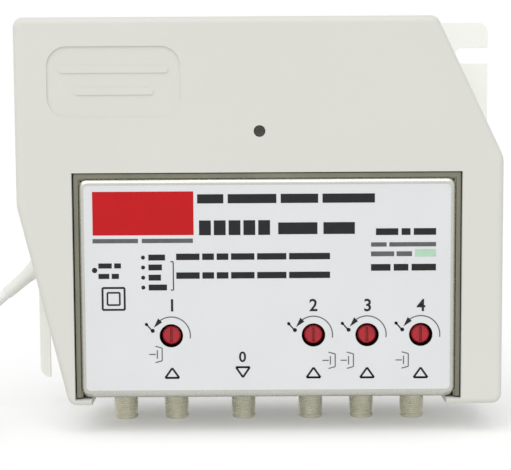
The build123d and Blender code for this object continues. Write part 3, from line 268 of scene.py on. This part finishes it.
# the room lights the object a little less than it shows to the camera, in glass and in metal
room = bpy.data.worlds.new("room")
room.use_nodes = True
scene.world = room
room_tree = room.node_tree
room_light = room_tree.nodes["Background"]
room_light.inputs["Color"].default_value = (1.0, 1.0, 1.0, 1.0)
room_seen = room_tree.nodes.new("ShaderNodeLightPath")
room_direct = room_tree.nodes.new("ShaderNodeMath")
room_direct.operation = "MAXIMUM"
room_tree.links.new(room_seen.outputs["Is Camera Ray"], room_direct.inputs[0])
room_tree.links.new(room_seen.outputs["Is Transmission Ray"], room_direct.inputs[1])
room_mirrored = room_tree.nodes.new("ShaderNodeMath")
room_mirrored.operation = "MAXIMUM"
room_tree.links.new(room_direct.outputs["Value"], room_mirrored.inputs[0])
room_tree.links.new(room_seen.outputs["Is Glossy Ray"], room_mirrored.inputs[1])
room_level = room_tree.nodes.new("ShaderNodeMapRange")
room_level.inputs["To Min"].default_value = room_share
room_level.inputs["To Max"].default_value = 1.0
room_tree.links.new(room_mirrored.outputs["Value"], room_level.inputs["Value"])
room_tree.links.new(room_level.outputs["Result"], room_light.inputs["Strength"])

lamp_data = bpy.data.lights.new("broad_lamp", "SUN")
lamp_data.energy = 1.35
lamp_data.angle = radians(70)
broad_lamp = bpy.data.objects.new("broad_lamp", lamp_data)
scene.collection.objects.link(broad_lamp)
broad_lamp.rotation_euler = (radians(38), radians(-12), 0.0)
scene.view_settings.view_transform = "Standard"

# BASE PLATE
# A flat moulding in a lighter off white than the cover. It screws to the wall through two
# open slots, and its rim and bosses locate everything else.
base_plastic = finish("base_plastic", paint(251, 252, 246), 0.55, mottle=0.015, cells=30.0, grain=3000.0)
dress(["base_plate"], base_plastic)


# BOOT OF THE LEAD
# A soft white moulding on the lead: a collar that sits in the notch of the cover's wall,
# held by the base plate, and a bell that thins along the lead and lets it bend gently.
def new_piece(name, shape, material, body="housing"):
    """Turn a finished bmesh into a piece that rides on a body."""
    mesh = bpy.data.meshes.new(name)
    shape.to_mesh(mesh)
    shape.free()
    mesh.materials.append(material)
    piece = bpy.data.objects.new(name, mesh)
    scene.collection.objects.link(piece)
    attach(piece, body)
    return piece


def skin(shape, rings):
    """Join a row of vertex rings into one closed shell."""
    for near, far in zip(rings, rings[1:]):
        edges = [edge for edge in shape.edges if all(vert in near for vert in edge.verts)]
        edges += [edge for edge in shape.edges if all(vert in far for vert in edge.verts)]
        bmesh.ops.bridge_loops(shape, edges=edges)
    for ring in (rings[0], rings[-1]):
        edges = [edge for edge in shape.edges if all(vert in ring for vert in edge.verts)]
        bmesh.ops.contextual_create(shape, geom=edges)
    bmesh.ops.recalc_face_normals(shape, faces=shape.faces)


exit_point = Vector((-0.08519, 0.0210, 0.0630))
lead_fall = radians(40)
lead_way = Vector((-cos(lead_fall), 0.0, -sin(lead_fall)))
wall_lean = atan2(0.0183, 0.0750)
wall_way = Vector((-cos(wall_lean), 0.0, -sin(wall_lean)))
# distance from the wall and radius, at each ring of the bell
boot_rings = [
    (0.0000, 0.00390),
    (0.0060, 0.00390),
    (0.0082, 0.00380),
    (0.0098, 0.00340),
    (0.0118, 0.00300),
    (0.0140, 0.00275),
    (0.0160, 0.00268),
    (0.0185, 0.00262),
    (0.0210, 0.00256),
    (0.0236, 0.00250),
    (0.0240, 0.00238),
]
bell_facets = 40
collar_facets = 48
merge_reach = 0.0000005
boot_shape = bmesh.new()
bell_rings = []
for reach, radius in boot_rings:
    ring = bmesh.ops.create_circle(boot_shape, segments=bell_facets, radius=radius)["verts"]
    bmesh.ops.translate(boot_shape, verts=ring, vec=(0.0, 0.0, reach))
    bell_rings.append(ring)
skin(boot_shape, bell_rings)
bell_frame = Matrix.Translation(exit_point) @ lead_way.to_track_quat("Z", "Y").to_matrix().to_4x4()
bmesh.ops.transform(boot_shape, matrix=bell_frame, verts=boot_shape.verts)
for face in boot_shape.faces:
    face.smooth = len(face.verts) == 4
# radius, start and end of the collar's inner flange, neck and outer lip, seen from the wall's face
collar_depth = 0.0038
collar_steps = ((0.0055, -collar_depth, -0.0022), (0.0042, -0.0022, 0.0), (0.0052, 0.0, 0.0012))
plate_reach = 0.0045
to_plate = Vector((0.0, 1.0, 0.0))
collar_axes = Matrix((to_plate, wall_way.cross(to_plate), wall_way)).transposed()
collar_frame = Matrix.Translation(exit_point) @ collar_axes.to_4x4()
for radius, low, high in collar_steps:
    collar = bmesh.new()
    bmesh.ops.create_cone(
        collar, cap_ends=True, segments=collar_facets, radius1=radius, radius2=radius, depth=high - low
    )
    bmesh.ops.translate(collar, verts=collar.verts, vec=(0.0, 0.0, (low + high) / 2))
    # flat where it meets the base plate
    for vert in collar.verts:
        vert.co.x = min(vert.co.x, plate_reach)
    bmesh.ops.remove_doubles(collar, verts=collar.verts, dist=merge_reach)
    bmesh.ops.transform(collar, matrix=collar_frame, verts=collar.verts)
    bmesh.ops.recalc_face_normals(collar, faces=collar.faces)
    loose = bpy.data.meshes.new("collar")
    collar.to_mesh(loose)
    collar.free()
    boot_shape.from_mesh(loose)
    bpy.data.meshes.remove(loose)
boot_white = finish("boot_white", paint(240, 240, 235), 0.6, mottle=0.03, cells=60.0, grain=2200.0)
lead_boot = new_piece("lead_boot", boot_shape, boot_white)
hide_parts("strain_relief")
dress(["strain_relief"], boot_white)

# SCREENING CASE
# A bright die cast tray with rounded front edges. It holds the module, carries the six
# sockets in its bottom, and shows its front in the cover's window.
bright_casting = finish(
    "bright_casting",
    paint(206, 206, 198),
    0.26,
    metal=1.0,
    mottle=0.03,
    cells=45.0,
    grain=700.0,
    relief=0.000004,
)
tinned_sheet = finish(
    "tinned_sheet", paint(188, 188, 182), 0.34, metal=1.0, mottle=0.06, cells=80.0, grain=900.0
)
dress(["module_case"], bright_casting)
dress(["module_lid", "screen_fences", "feed_capacitor"], tinned_sheet)

# TRIM OF THE CASE
# A thin grey metal trim round the sides and the top of the case's front, which all but fills the gap to the
# window.
# Its dark olive grey, darker than the case, is partly painted shade of that gap. It is pressed on the case
# and has a fine groove beside the front label.
trim_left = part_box("module_case")[0].x
trim_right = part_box("module_case")[1].x
trim_low, trim_high = 0.0142, 0.0969
trim_front = -0.0257
# inset from the case's side, and depth behind the trim's own front
trim_profile = [
    (-0.00140, 0.0030),
    (-0.00140, 0.0004),
    (-0.00105, 0.0000),
    (0.00055, 0.0000),
    (0.00060, 0.0006),
    (0.00095, 0.0006),
    (0.00100, 0.0003),
    (0.00120, 0.0004),
    (0.00120, 0.0030),
]
# up the left side, along the top and down the right side, mitred at the two corners
trim_corners = [
    (trim_left, trim_low, 1, 0),
    (trim_left, trim_high, 1, -1),
    (trim_right, trim_high, -1, -1),
    (trim_right, trim_low, -1, 0),
]
trim_shape = bmesh.new()
trim_rings = []
for x, z, across, up in trim_corners:
    ring = [
        trim_shape.verts.new((x + across * inset, trim_front + depth, z + up * inset))
        for inset, depth in trim_profile
    ]
    for pair in zip(ring, ring[1:] + ring[:1]):
        trim_shape.edges.new(pair)
    trim_rings.append(ring)
skin(trim_shape, trim_rings)
# the trim's dark olive grey is partly metal and partly painted shade of the gap to the window
trim_grey_and_painted_shade = finish(
    "trim_grey_and_shade", paint(136, 135, 120), 0.36, metal=0.9, mottle=0.08, cells=70.0, grain=800.0
)
new_piece("case_rim", trim_shape, trim_grey_and_painted_shade)

# SCREWS
# Zinc plated steel screws with plain round heads hold the case, the boards, the transformer
# and the lead's clamp. The cover's own screw, deep in its turret, is dark and cross slotted.
zinc_steel = finish("zinc_steel", paint(168, 168, 162), 0.32, metal=1.0, mottle=0.05, cells=300.0)
dark_screw = finish("dark_screw", paint(92, 90, 84), 0.4, metal=1.0, mottle=0.06, cells=400.0)
dress(["module_screws", "board_screws", "transformer_screws", "power_screws", "clamp_screws"], zinc_steel)
dress(["cover_screw"], dark_screw)

# BOARDS AND WHAT STANDS ON THEM
# A green module board on posts in the case and a tan power board above it, with coils, chips,
# capacitors, diodes, a regulator, its heat sink and a glass fuse soldered or clipped to them.
trimmers = range(1, 5)
dress(["module_board"], finish("green_board", paint(38, 98, 62), 0.4, mottle=0.08, cells=200.0))
dress(["power_board"], finish("tan_board", paint(176, 138, 86), 0.55, mottle=0.08, cells=150.0))
copper_wire = finish("copper_wire", paint(196, 118, 66), 0.25, metal=1.0, mottle=0.08, cells=300.0)
dress(["tuning_coils"], copper_wire)
dress(["amplifier_chips", "voltage_regulator"], finish("chip_black", paint(34, 34, 36), 0.5, cells=200.0))
dress(["disc_capacitors"], finish("dipped_ceramic", paint(206, 142, 66), 0.35, mottle=0.06, cells=300.0))
dress(["reservoir_capacitors"], finish("sleeve_blue", paint(34, 44, 98), 0.25, cells=90.0))
dress(["rectifier_diodes"], finish("diode_black", paint(30, 30, 30), 0.3, cells=200.0))
dress(["heat_sink"], finish("plain_aluminium", paint(196, 196, 198), 0.4, metal=1.0, cells=90.0))
dress(["fuse_caps", "fuse_clips"], finish("nickel_clip", paint(198, 194, 180), 0.26, metal=1.0))
trimmer_black = finish("trimmer_black", paint(26, 26, 28), 0.5, cells=300.0)
dress([f"trimmer_body_{number}" for number in trimmers], trimmer_black)
fuse_clear = finish("fuse_clear", paint(236, 240, 240), 0.06, mottle=0.01, cells=100.0)
fuse_clear.node_tree.nodes["Principled BSDF"].inputs["Transmission Weight"].default_value = 0.9
dress(["fuse_glass"], fuse_clear)

# TRANSFORMER
# Stacked iron sheets under clear varnish, with a black bobbin and windings under yellow tape.
# A zinc plated strap goes over the core, and its two feet are screwed to the base plate.
core_iron = finish("core_iron", paint(104, 102, 102), 0.45, metal=0.8, mottle=0.08, cells=120.0)
winding_tape = finish("winding_tape", paint(222, 196, 84), 0.35, mottle=0.05, cells=120.0)
dress(["transformer_core"], core_iron)
dress(["transformer_bobbin"], finish("bobbin_black", paint(40, 40, 42), 0.5))
dress(["transformer_windings"], winding_tape)
dress(["transformer_clamp"], zinc_steel)


# WIRES INSIDE
# Plain insulated wires between the lead's clamp, the boards and the transformer, and the
# lead's own sheath, which goes on inside as far as the clamp.
def part_way(start, end, shares):
    """Points between two ends, at a share of the way along each axis."""
    return [tuple(a + (b - a) * share for a, b, share in zip(start, end, row)) for row in shares]


def beside(route, apart):
    """The same route, shifted square to itself in the plane of the base plate."""
    shifted = []
    for index, here in enumerate(route):
        before = route[max(index - 1, 0)]
        after = route[min(index + 1, len(route) - 1)]
        run = hypot(after[0] - before[0], after[2] - before[2])
        across = (before[2] - after[2]) / run
        up = (after[0] - before[0]) / run
        shifted.append((here[0] + across * apart, here[1], here[2] + up * apart))
    return shifted


wire_radius = 0.001
wire_pitch = 0.0023
wire_straight = 0.008
sheath_inside = 0.022
pad_y = 0.0169
dress(["lead_clamp"], base_plastic)
dress(["inner_lead"], sheath)
inner_end = exit_point - wall_way * collar_depth
sheath_end = inner_end - wall_way * sheath_inside
round_lead(
    "lead_end_inside",
    [inner_end, (inner_end + sheath_end) / 2, sheath_end],
    lead_diameter / 2,
    sheath,
    "cord_sheath",
    "inner_lead",
)

# the two mains wires, from the end of the sheath to the power board
wire_brown = finish("wire_brown", paint(118, 74, 48), 0.4)
wire_blue = finish("wire_blue", paint(52, 92, 168), 0.4)
dress(["mains_wires"], wire_brown)
mains_bend = sheath_end - wall_way * wire_straight
mains_pad = (0.025, pad_y, 0.1098)
mains_shares = [
    (0.2115, 0.0, 0.2835),
    (0.4183, 0.0, 0.6701),
    (0.6251, 0.49, 0.799),
    (0.819, 1.34, 0.8247),
]
mains_route = [sheath_end, mains_bend, *part_way(mains_bend, mains_pad, mains_shares), mains_pad]
for name, place, material in (("mains_wire_brown", -0.5, wire_brown), ("mains_wire_blue", 0.5, wire_blue)):
    route = beside(mains_route, place * wire_pitch)
    round_lead(name, route, wire_radius, material, "wire_brown", "mains_wires")

# the two wires from the transformer's windings to the power board
wire_yellow = finish("wire_yellow", paint(220, 190, 70), 0.4)
dress(["transformer_wires"], wire_yellow)
winding_drop = 0.0026
winding_end = (-0.025, -0.00145, 0.1362)
winding_pad = (0.014, pad_y, 0.129)
winding_shares = [(0.077, 0.0, 0.0), (0.385, 0.055, 0.167), (0.615, 0.272, 0.583), (0.795, 0.491, 0.931)]
winding_fall_shares = (0.0, 0.0, 0.6, 1.0)
for number in (0, 1):
    step = number * wire_pitch - winding_drop
    drift = step - winding_end[1]
    middle = part_way(winding_end, winding_pad, winding_shares)
    route = [(winding_end[0], step, winding_end[2])]
    route += [(x, y + drift, z - step * fall) for (x, y, z), fall in zip(middle, winding_fall_shares)]
    route.append((winding_pad[0], winding_pad[1], winding_pad[2] - step))
    name = f"winding_wire_{number + 1}"
    round_lead(name, route, wire_radius, wire_yellow, "wire_yellow", "transformer_wires")

# the supply wire, from the power board down to the pin of the feed through capacitor
wire_red = finish("wire_red", paint(196, 40, 34), 0.4)
dress(["supply_wire"], wire_red)
supply_pad = (0.040, pad_y, 0.111)
supply_bend = (0.044, -0.006, 0.1069)
supply_end = (0.044, -0.006, 0.1019)
supply_shares = [(0.125, 0.301, 0.366), (0.5, 0.651, 0.976)]
supply_route = [supply_pad, *part_way(supply_pad, supply_bend, supply_shares), supply_bend, supply_end]
round_lead("supply_wire_red", supply_route, wire_radius, wire_red, "wire_red", "supply_wire")

# LEVEL TRIMMERS
# Long spindles of red plastic with a slotted head for a small screwdriver. Each turns in its
# box on the board, and its head stands behind a hole of the label, set back from the front.
rotor_red = finish("rotor_red", paint(178, 24, 40), 0.32, mottle=0.10, cells=500.0, grain=1500.0)
dress([f"trimmer_rotor_{number}" for number in trimmers], rotor_red)

# SOCKETS
# Nickel plated barrels with a fine rolled thread, a flange inside the case, a pale insulator
# and a spring contact in the mouth. The amplifier stands on them.
socket_places = (-0.0542, -0.0342, -0.0077, 0.0188, 0.0388, 0.0588)
socket_y = 0.004
thread_radius = 0.00476
thread_depth = 0.00042
thread_pitch = 0.000794
thread_low = 0.0006
thread_high = 0.0134
thread_turns = int((thread_high - thread_low) / thread_pitch) - 1
turn_steps = 24
barrel_facets = 48
sharp_angle = radians(35)
crest_shares = (0.42, 0.58)
bore_radius = 0.0026
bore_edge = 0.0002
mouth_radius = 0.0040
barrel_radius = 0.00438
barrel_edge = 0.0004
neck_radius = 0.0045
neck_edge = 0.0002
flange_radius = 0.0062
flange_low = 0.0155
flange_high = 0.0175
# the thread's ridge, and the section of the barrel with its bore, mouth, neck and flange
ridge_points = [
    (thread_radius - thread_depth, thread_low),
    (thread_radius, thread_low + thread_pitch * crest_shares[0]),
    (thread_radius, thread_low + thread_pitch * crest_shares[1]),
    (thread_radius - thread_depth, thread_low + thread_pitch),
]
barrel_points = [
    (bore_radius, flange_high),
    (bore_radius, bore_edge),
    (bore_radius + bore_edge, 0.0),
    (mouth_radius, 0.0),
    (barrel_radius, barrel_edge),
    (barrel_radius, thread_high - neck_edge),
    (neck_radius, thread_high),
    (neck_radius, flange_low),
    (flange_radius, flange_low),
    (flange_radius, flange_high),
]
socket_nickel = finish(
    "socket_nickel",
    paint(246, 244, 228),
    0.42,
    metal=0.5,
    mottle=0.06,
    cells=350.0,
    grain=1800.0,
)
for number, socket_x in enumerate(socket_places, start=1):
    socket_shape = bmesh.new()
    ridge = [socket_shape.verts.new((socket_x + reach, socket_y, height)) for reach, height in ridge_points]
    ridge_edges = [socket_shape.edges.new(pair) for pair in zip(ridge, ridge[1:])]
    # the thread: its ridge carried up and round
    bmesh.ops.spin(
        socket_shape,
        geom=ridge + ridge_edges,
        cent=(socket_x, socket_y, 0.0),
        axis=(0.0, 0.0, 1.0),
        dvec=(0.0, 0.0, thread_pitch / turn_steps),
        angle=2 * pi * thread_turns,
        steps=turn_steps * thread_turns,
    )
    barrel = [
        socket_shape.verts.new((socket_x + reach, socket_y, height)) for reach, height in barrel_points
    ]
    barrel_edges = [socket_shape.edges.new(pair) for pair in zip(barrel, barrel[1:] + barrel[:1])]
    bmesh.ops.spin(
        socket_shape,
        geom=barrel + barrel_edges,
        cent=(socket_x, socket_y, 0.0),
        axis=(0.0, 0.0, 1.0),
        angle=2 * pi,
        steps=barrel_facets,
        use_merge=True,
    )
    bmesh.ops.remove_doubles(socket_shape, verts=socket_shape.verts, dist=merge_reach)
    bmesh.ops.recalc_face_normals(socket_shape, faces=socket_shape.faces)
    for face in socket_shape.faces:
        face.smooth = True
    threaded_socket = new_piece(f"threaded_socket_{number}", socket_shape, socket_nickel)
    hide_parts(f"rf_socket_{number}")
    sharp_edges = threaded_socket.modifiers.new("sharp_edges", "EDGE_SPLIT")
    sharp_edges.split_angle = sharp_angle
dress(["socket_insulators"], finish("insulator_white", paint(226, 224, 210), 0.5, cells=300.0))
dress(["socket_contacts"], finish("contact_bronze", paint(196, 170, 112), 0.3, metal=1.0, cells=300.0))

# FRONT LABEL
# A printed film, glued over the case's front: white with a red block, grey and black print,
# and a round hole at each trimmer. Screen print is duller than the film that it lies on.
ink_lift = 0.00004
ink_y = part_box("front_label")[0].y - ink_lift
bold_line = 0.00075
thin_line = 0.0004
triangle_half = 0.0026
label_film = finish(
    "label_film",
    paint(226, 228, 229),
    0.4,
    mottle=0.012,
    cells=40.0,
    grain=1200.0,
    relief=0.000002,
)
dress(["front_label"], label_film)
ink_black = finish("ink_black", paint(34, 34, 36), 0.5, mottle=0.1, cells=300.0)
ink_grey = finish("ink_grey", paint(96, 98, 100), 0.45, mottle=0.1, cells=300.0)
ink_red = finish("ink_red", paint(196, 12, 20), 0.5, mottle=0.04, cells=60.0)
ink_green = finish("ink_green", paint(178, 214, 186), 0.45, mottle=0.06, cells=300.0)
for ink in (ink_black, ink_grey, ink_red):
    ink.node_tree.nodes["Principled BSDF"].inputs["Specular IOR Level"].default_value = 0.25


def on_film(x, z):
    """The matrix that lays a flat shape on the film, its face to the front."""
    return Matrix.Translation((x, ink_y, z)) @ Matrix.Rotation(pi / 2, 4, "X")


def stroke(print_shape, points, width):
    """A line of even width through points, one flat bar for each run."""
    for (x1, z1), (x2, z2) in zip(points, points[1:]):
        lie = Matrix.Rotation(atan2(z2 - z1, x2 - x1), 4, "Z")
        size = Matrix.Diagonal((hypot(x2 - x1, z2 - z1), width, 1.0, 1.0))
        bmesh.ops.create_grid(
            print_shape,
            x_segments=1,
            y_segments=1,
            size=0.5,
            matrix=on_film((x1 + x2) / 2, (z1 + z2) / 2) @ lie @ size,
        )


def block(print_shape, left, low, right, high):
    """A plain upright block."""
    stroke(print_shape, [(left, (low + high) / 2), (right, (low + high) / 2)], high - low)


def words(print_shape, left, low, right, high, lengths, gap):
    """A line of print, as blocks of the given shares of the line with gaps between them."""
    unit = (right - left - gap * (len(lengths) - 1)) / sum(lengths)
    for length in lengths:
        block(print_shape, left, low, left + length * unit, high)
        left += length * unit + gap


def dot(print_shape, x, z, radius):
    """A round dot."""
    bmesh.ops.create_circle(print_shape, cap_ends=True, segments=24, radius=radius, matrix=on_film(x, z))


def arc(x, z, radius, start, end, steps=18):
    """Points along an arc, angles in degrees from +X towards +Z."""
    angles = [radians(start + (end - start) * step / steps) for step in range(steps + 1)]
    return [(x + radius * cos(angle), z + radius * sin(angle)) for angle in angles]


def triangle(print_shape, x, base, tip):
    """An outlined triangle on its base, for a way in, or on its tip, for the way out."""
    left, right = x - triangle_half, x + triangle_half
    stroke(print_shape, [(left, base), (right, base), (x, tip), (left, base), (right, base)], bold_line)


red_print = bmesh.new()
black_print = bmesh.new()
grey_print = bmesh.new()
green_print = bmesh.new()
block(red_print, -0.0629, 0.0753, -0.0255, 0.0915)
block(green_print, 0.0565, 0.0668, 0.0643, 0.0696)

# left, low, right and high end of a line, the lengths of its words, and the gap between them
black_lines = [
    (-0.0241, 0.0870, 0.0416, 0.0904, (7, 13, 10, 14), 0.0016),
    (-0.0235, 0.0752, 0.0028, 0.0807, (1, 1, 1, 1, 1), 0.0011),
    (0.0058, 0.0754, 0.0342, 0.0798, (5, 4), 0.0022),
    (0.0420, 0.0749, 0.0643, 0.0774, (5, 2, 5), 0.0012),
    (0.0402, 0.0616, 0.0643, 0.0641, (4, 3, 5), 0.0012),
    (-0.0321, 0.0660, 0.0250, 0.0684, (4, 2, 2, 4, 5, 7), 0.0010),
    (-0.0321, 0.0590, 0.0250, 0.0614, (4, 2, 2, 4, 5, 7), 0.0010),
    (-0.0610, 0.0630, -0.0526, 0.0649, (4, 2), 0.0009),
    (-0.0610, 0.0591, -0.0534, 0.0610, (3, 2), 0.0009),
]
grey_lines = [
    (-0.0630, 0.0724, -0.0258, 0.0740, (8, 9), 0.0014),
    (0.0402, 0.0706, 0.0643, 0.0722, (3, 9), 0.0010),
    (0.0402, 0.0670, 0.0554, 0.0688, (6, 4), 0.0009),
]
for line in black_lines:
    words(black_print, *line)
for line in grey_lines:
    words(grey_print, *line)

# four short rows behind dots, the bracket beside the last three, and a larger dot at the left
row_dot_x, row_dot_radius = -0.0444, 0.00075
row_left, row_half = -0.0424, 0.0011
for row_z, row_end in ((0.0670, -0.0362), (0.0633, -0.0374), (0.0595, -0.0378), (0.0558, -0.0356)):
    dot(black_print, row_dot_x, row_z, row_dot_radius)
    block(black_print, row_left, row_z - row_half, row_end, row_z + row_half)
bracket = [(-0.0342, 0.0654), (-0.0332, 0.0654), (-0.0332, 0.0548), (-0.0342, 0.0548)]
stroke(black_print, bracket, thin_line)
dot(black_print, -0.0624, 0.0623, 0.0010)

# the double square of a double insulated device
square_x, square_z = -0.0555, 0.0516
for half, width in ((0.0041, bold_line), (0.0023, 0.00065)):
    left, right = square_x - half, square_x + half
    low, high = square_z - half, square_z + half
    stroke(black_print, [(left, low), (right, low), (right, high), (left, high), (left, low)], width)

# round each trimmer an arrow that turns left, and a small screwdriver sign beside its head
trimmer_z = 0.0376
sweep_radius, sweep_line = 0.0071, 0.00042
sweep_start, sweep_end, arrow_end = 128, -8, 146
blade_line = 0.0005
for x in (socket_places[1], *socket_places[3:]):
    stroke(grey_print, arc(x, trimmer_z, sweep_radius, sweep_start, sweep_end), sweep_line)
    arrow_way = arc(x, trimmer_z, sweep_radius, sweep_start, arrow_end)
    arrow_x, arrow_z = arrow_way[0]
    tip_x, tip_z = arrow_way[-1]
    arrow = [
        black_print.verts.new((corner_x, ink_y, corner_z))
        for corner_x, corner_z in (
            (tip_x - 0.0006, tip_z - 0.0009),
            (arrow_x + 0.0010, arrow_z - 0.0005),
            (arrow_x - 0.0005, arrow_z + 0.0010),
        )
    ]
    bmesh.ops.contextual_create(black_print, geom=arrow)
    blade = [(x - 0.0096, trimmer_z + 0.0048), (x - 0.0070, trimmer_z + 0.0018)]
    stroke(black_print, blade, blade_line)
    dot(black_print, x - 0.0069, trimmer_z + 0.0019, 0.00075)
    dot(black_print, x - 0.0092, trimmer_z + 0.0043, 0.0006)

# a triangle over each socket but the first: its middle, its base and its tip
for x, base, tip in (
    (-0.0340, 0.0217, 0.0254),
    (-0.0076, 0.0256, 0.0218),
    (0.0188, 0.0216, 0.0253),
    (0.0388, 0.0215, 0.0252),
    (0.0588, 0.0214, 0.0251),
):
    triangle(black_print, x, base, tip)

# small grey signs of a socket and its pin
for x, z in ((-0.0386, 0.0306), (0.0260, 0.0280), (0.0328, 0.0280), (0.0533, 0.0280)):
    shell = [
        (x - 0.0016, z + 0.0031),
        (x + 0.0009, z + 0.0024),
        (x + 0.0009, z - 0.0024),
        (x - 0.0016, z - 0.0031),
    ]
    stroke(grey_print, shell, thin_line)
    stroke(grey_print, [(x - 0.0039, z), (x - 0.0015, z)], thin_line)
    stroke(grey_print, [(x - 0.0009, z + 0.0016), (x - 0.0009, z - 0.0016)], thin_line)

for print_shape in (red_print, black_print, grey_print, green_print):
    for face in print_shape.faces:
        face.normal_update()
        if face.normal.y > 0:
            face.normal_flip()
new_piece("label_red_block", red_print, ink_red)
new_piece("label_black_print", black_print, ink_black)
new_piece("label_grey_print", grey_print, ink_grey)
new_piece("label_green_print", green_print, ink_green)

# NUMBERS
# Plain printed numbers over the trimmers, and a zero over the outlet. They are part of the
# label's black print.
for text, x, z, height in (
    ("1", -0.0338, 0.0488, 0.0064),
    ("2", 0.0188, 0.0486, 0.0064),
    ("3", 0.0390, 0.0485, 0.0064),
    ("4", 0.0589, 0.0484, 0.0064),
    ("0", -0.0077, 0.0293, 0.0054),
):
    lettering = bpy.data.curves.new("number", "FONT")
    lettering.body = text
    lettering.size = height
    lettering.align_x = "CENTER"
    lettering.align_y = "CENTER"
    lettering.offset = 0.00012
    carrier = bpy.data.objects.new("number", lettering)
    scene.collection.objects.link(carrier)
    bpy.context.view_layer.update()
    filled = carrier.evaluated_get(bpy.context.evaluated_depsgraph_get())
    flat = bpy.data.meshes.new_from_object(filled)
    bpy.data.objects.remove(carrier)
    number_shape = bmesh.new()
    number_shape.from_mesh(flat)
    bmesh.ops.transform(number_shape, matrix=on_film(x, z), verts=number_shape.verts)
    new_piece(f"number_{text}", number_shape, ink_black)

# FRONT COVER
# One moulding in a fine matt off white. The window's sharp edge, the badge recess and the
# deep screw turret are part of it. One screw holds it to the base plate.
cover_plastic = finish(
    "cover_plastic", paint(220, 220, 213), 0.5, mottle=0.012, cells=18.0, grain=2600.0, relief=0.00002
)
dress(["front_cover"], cover_plastic)
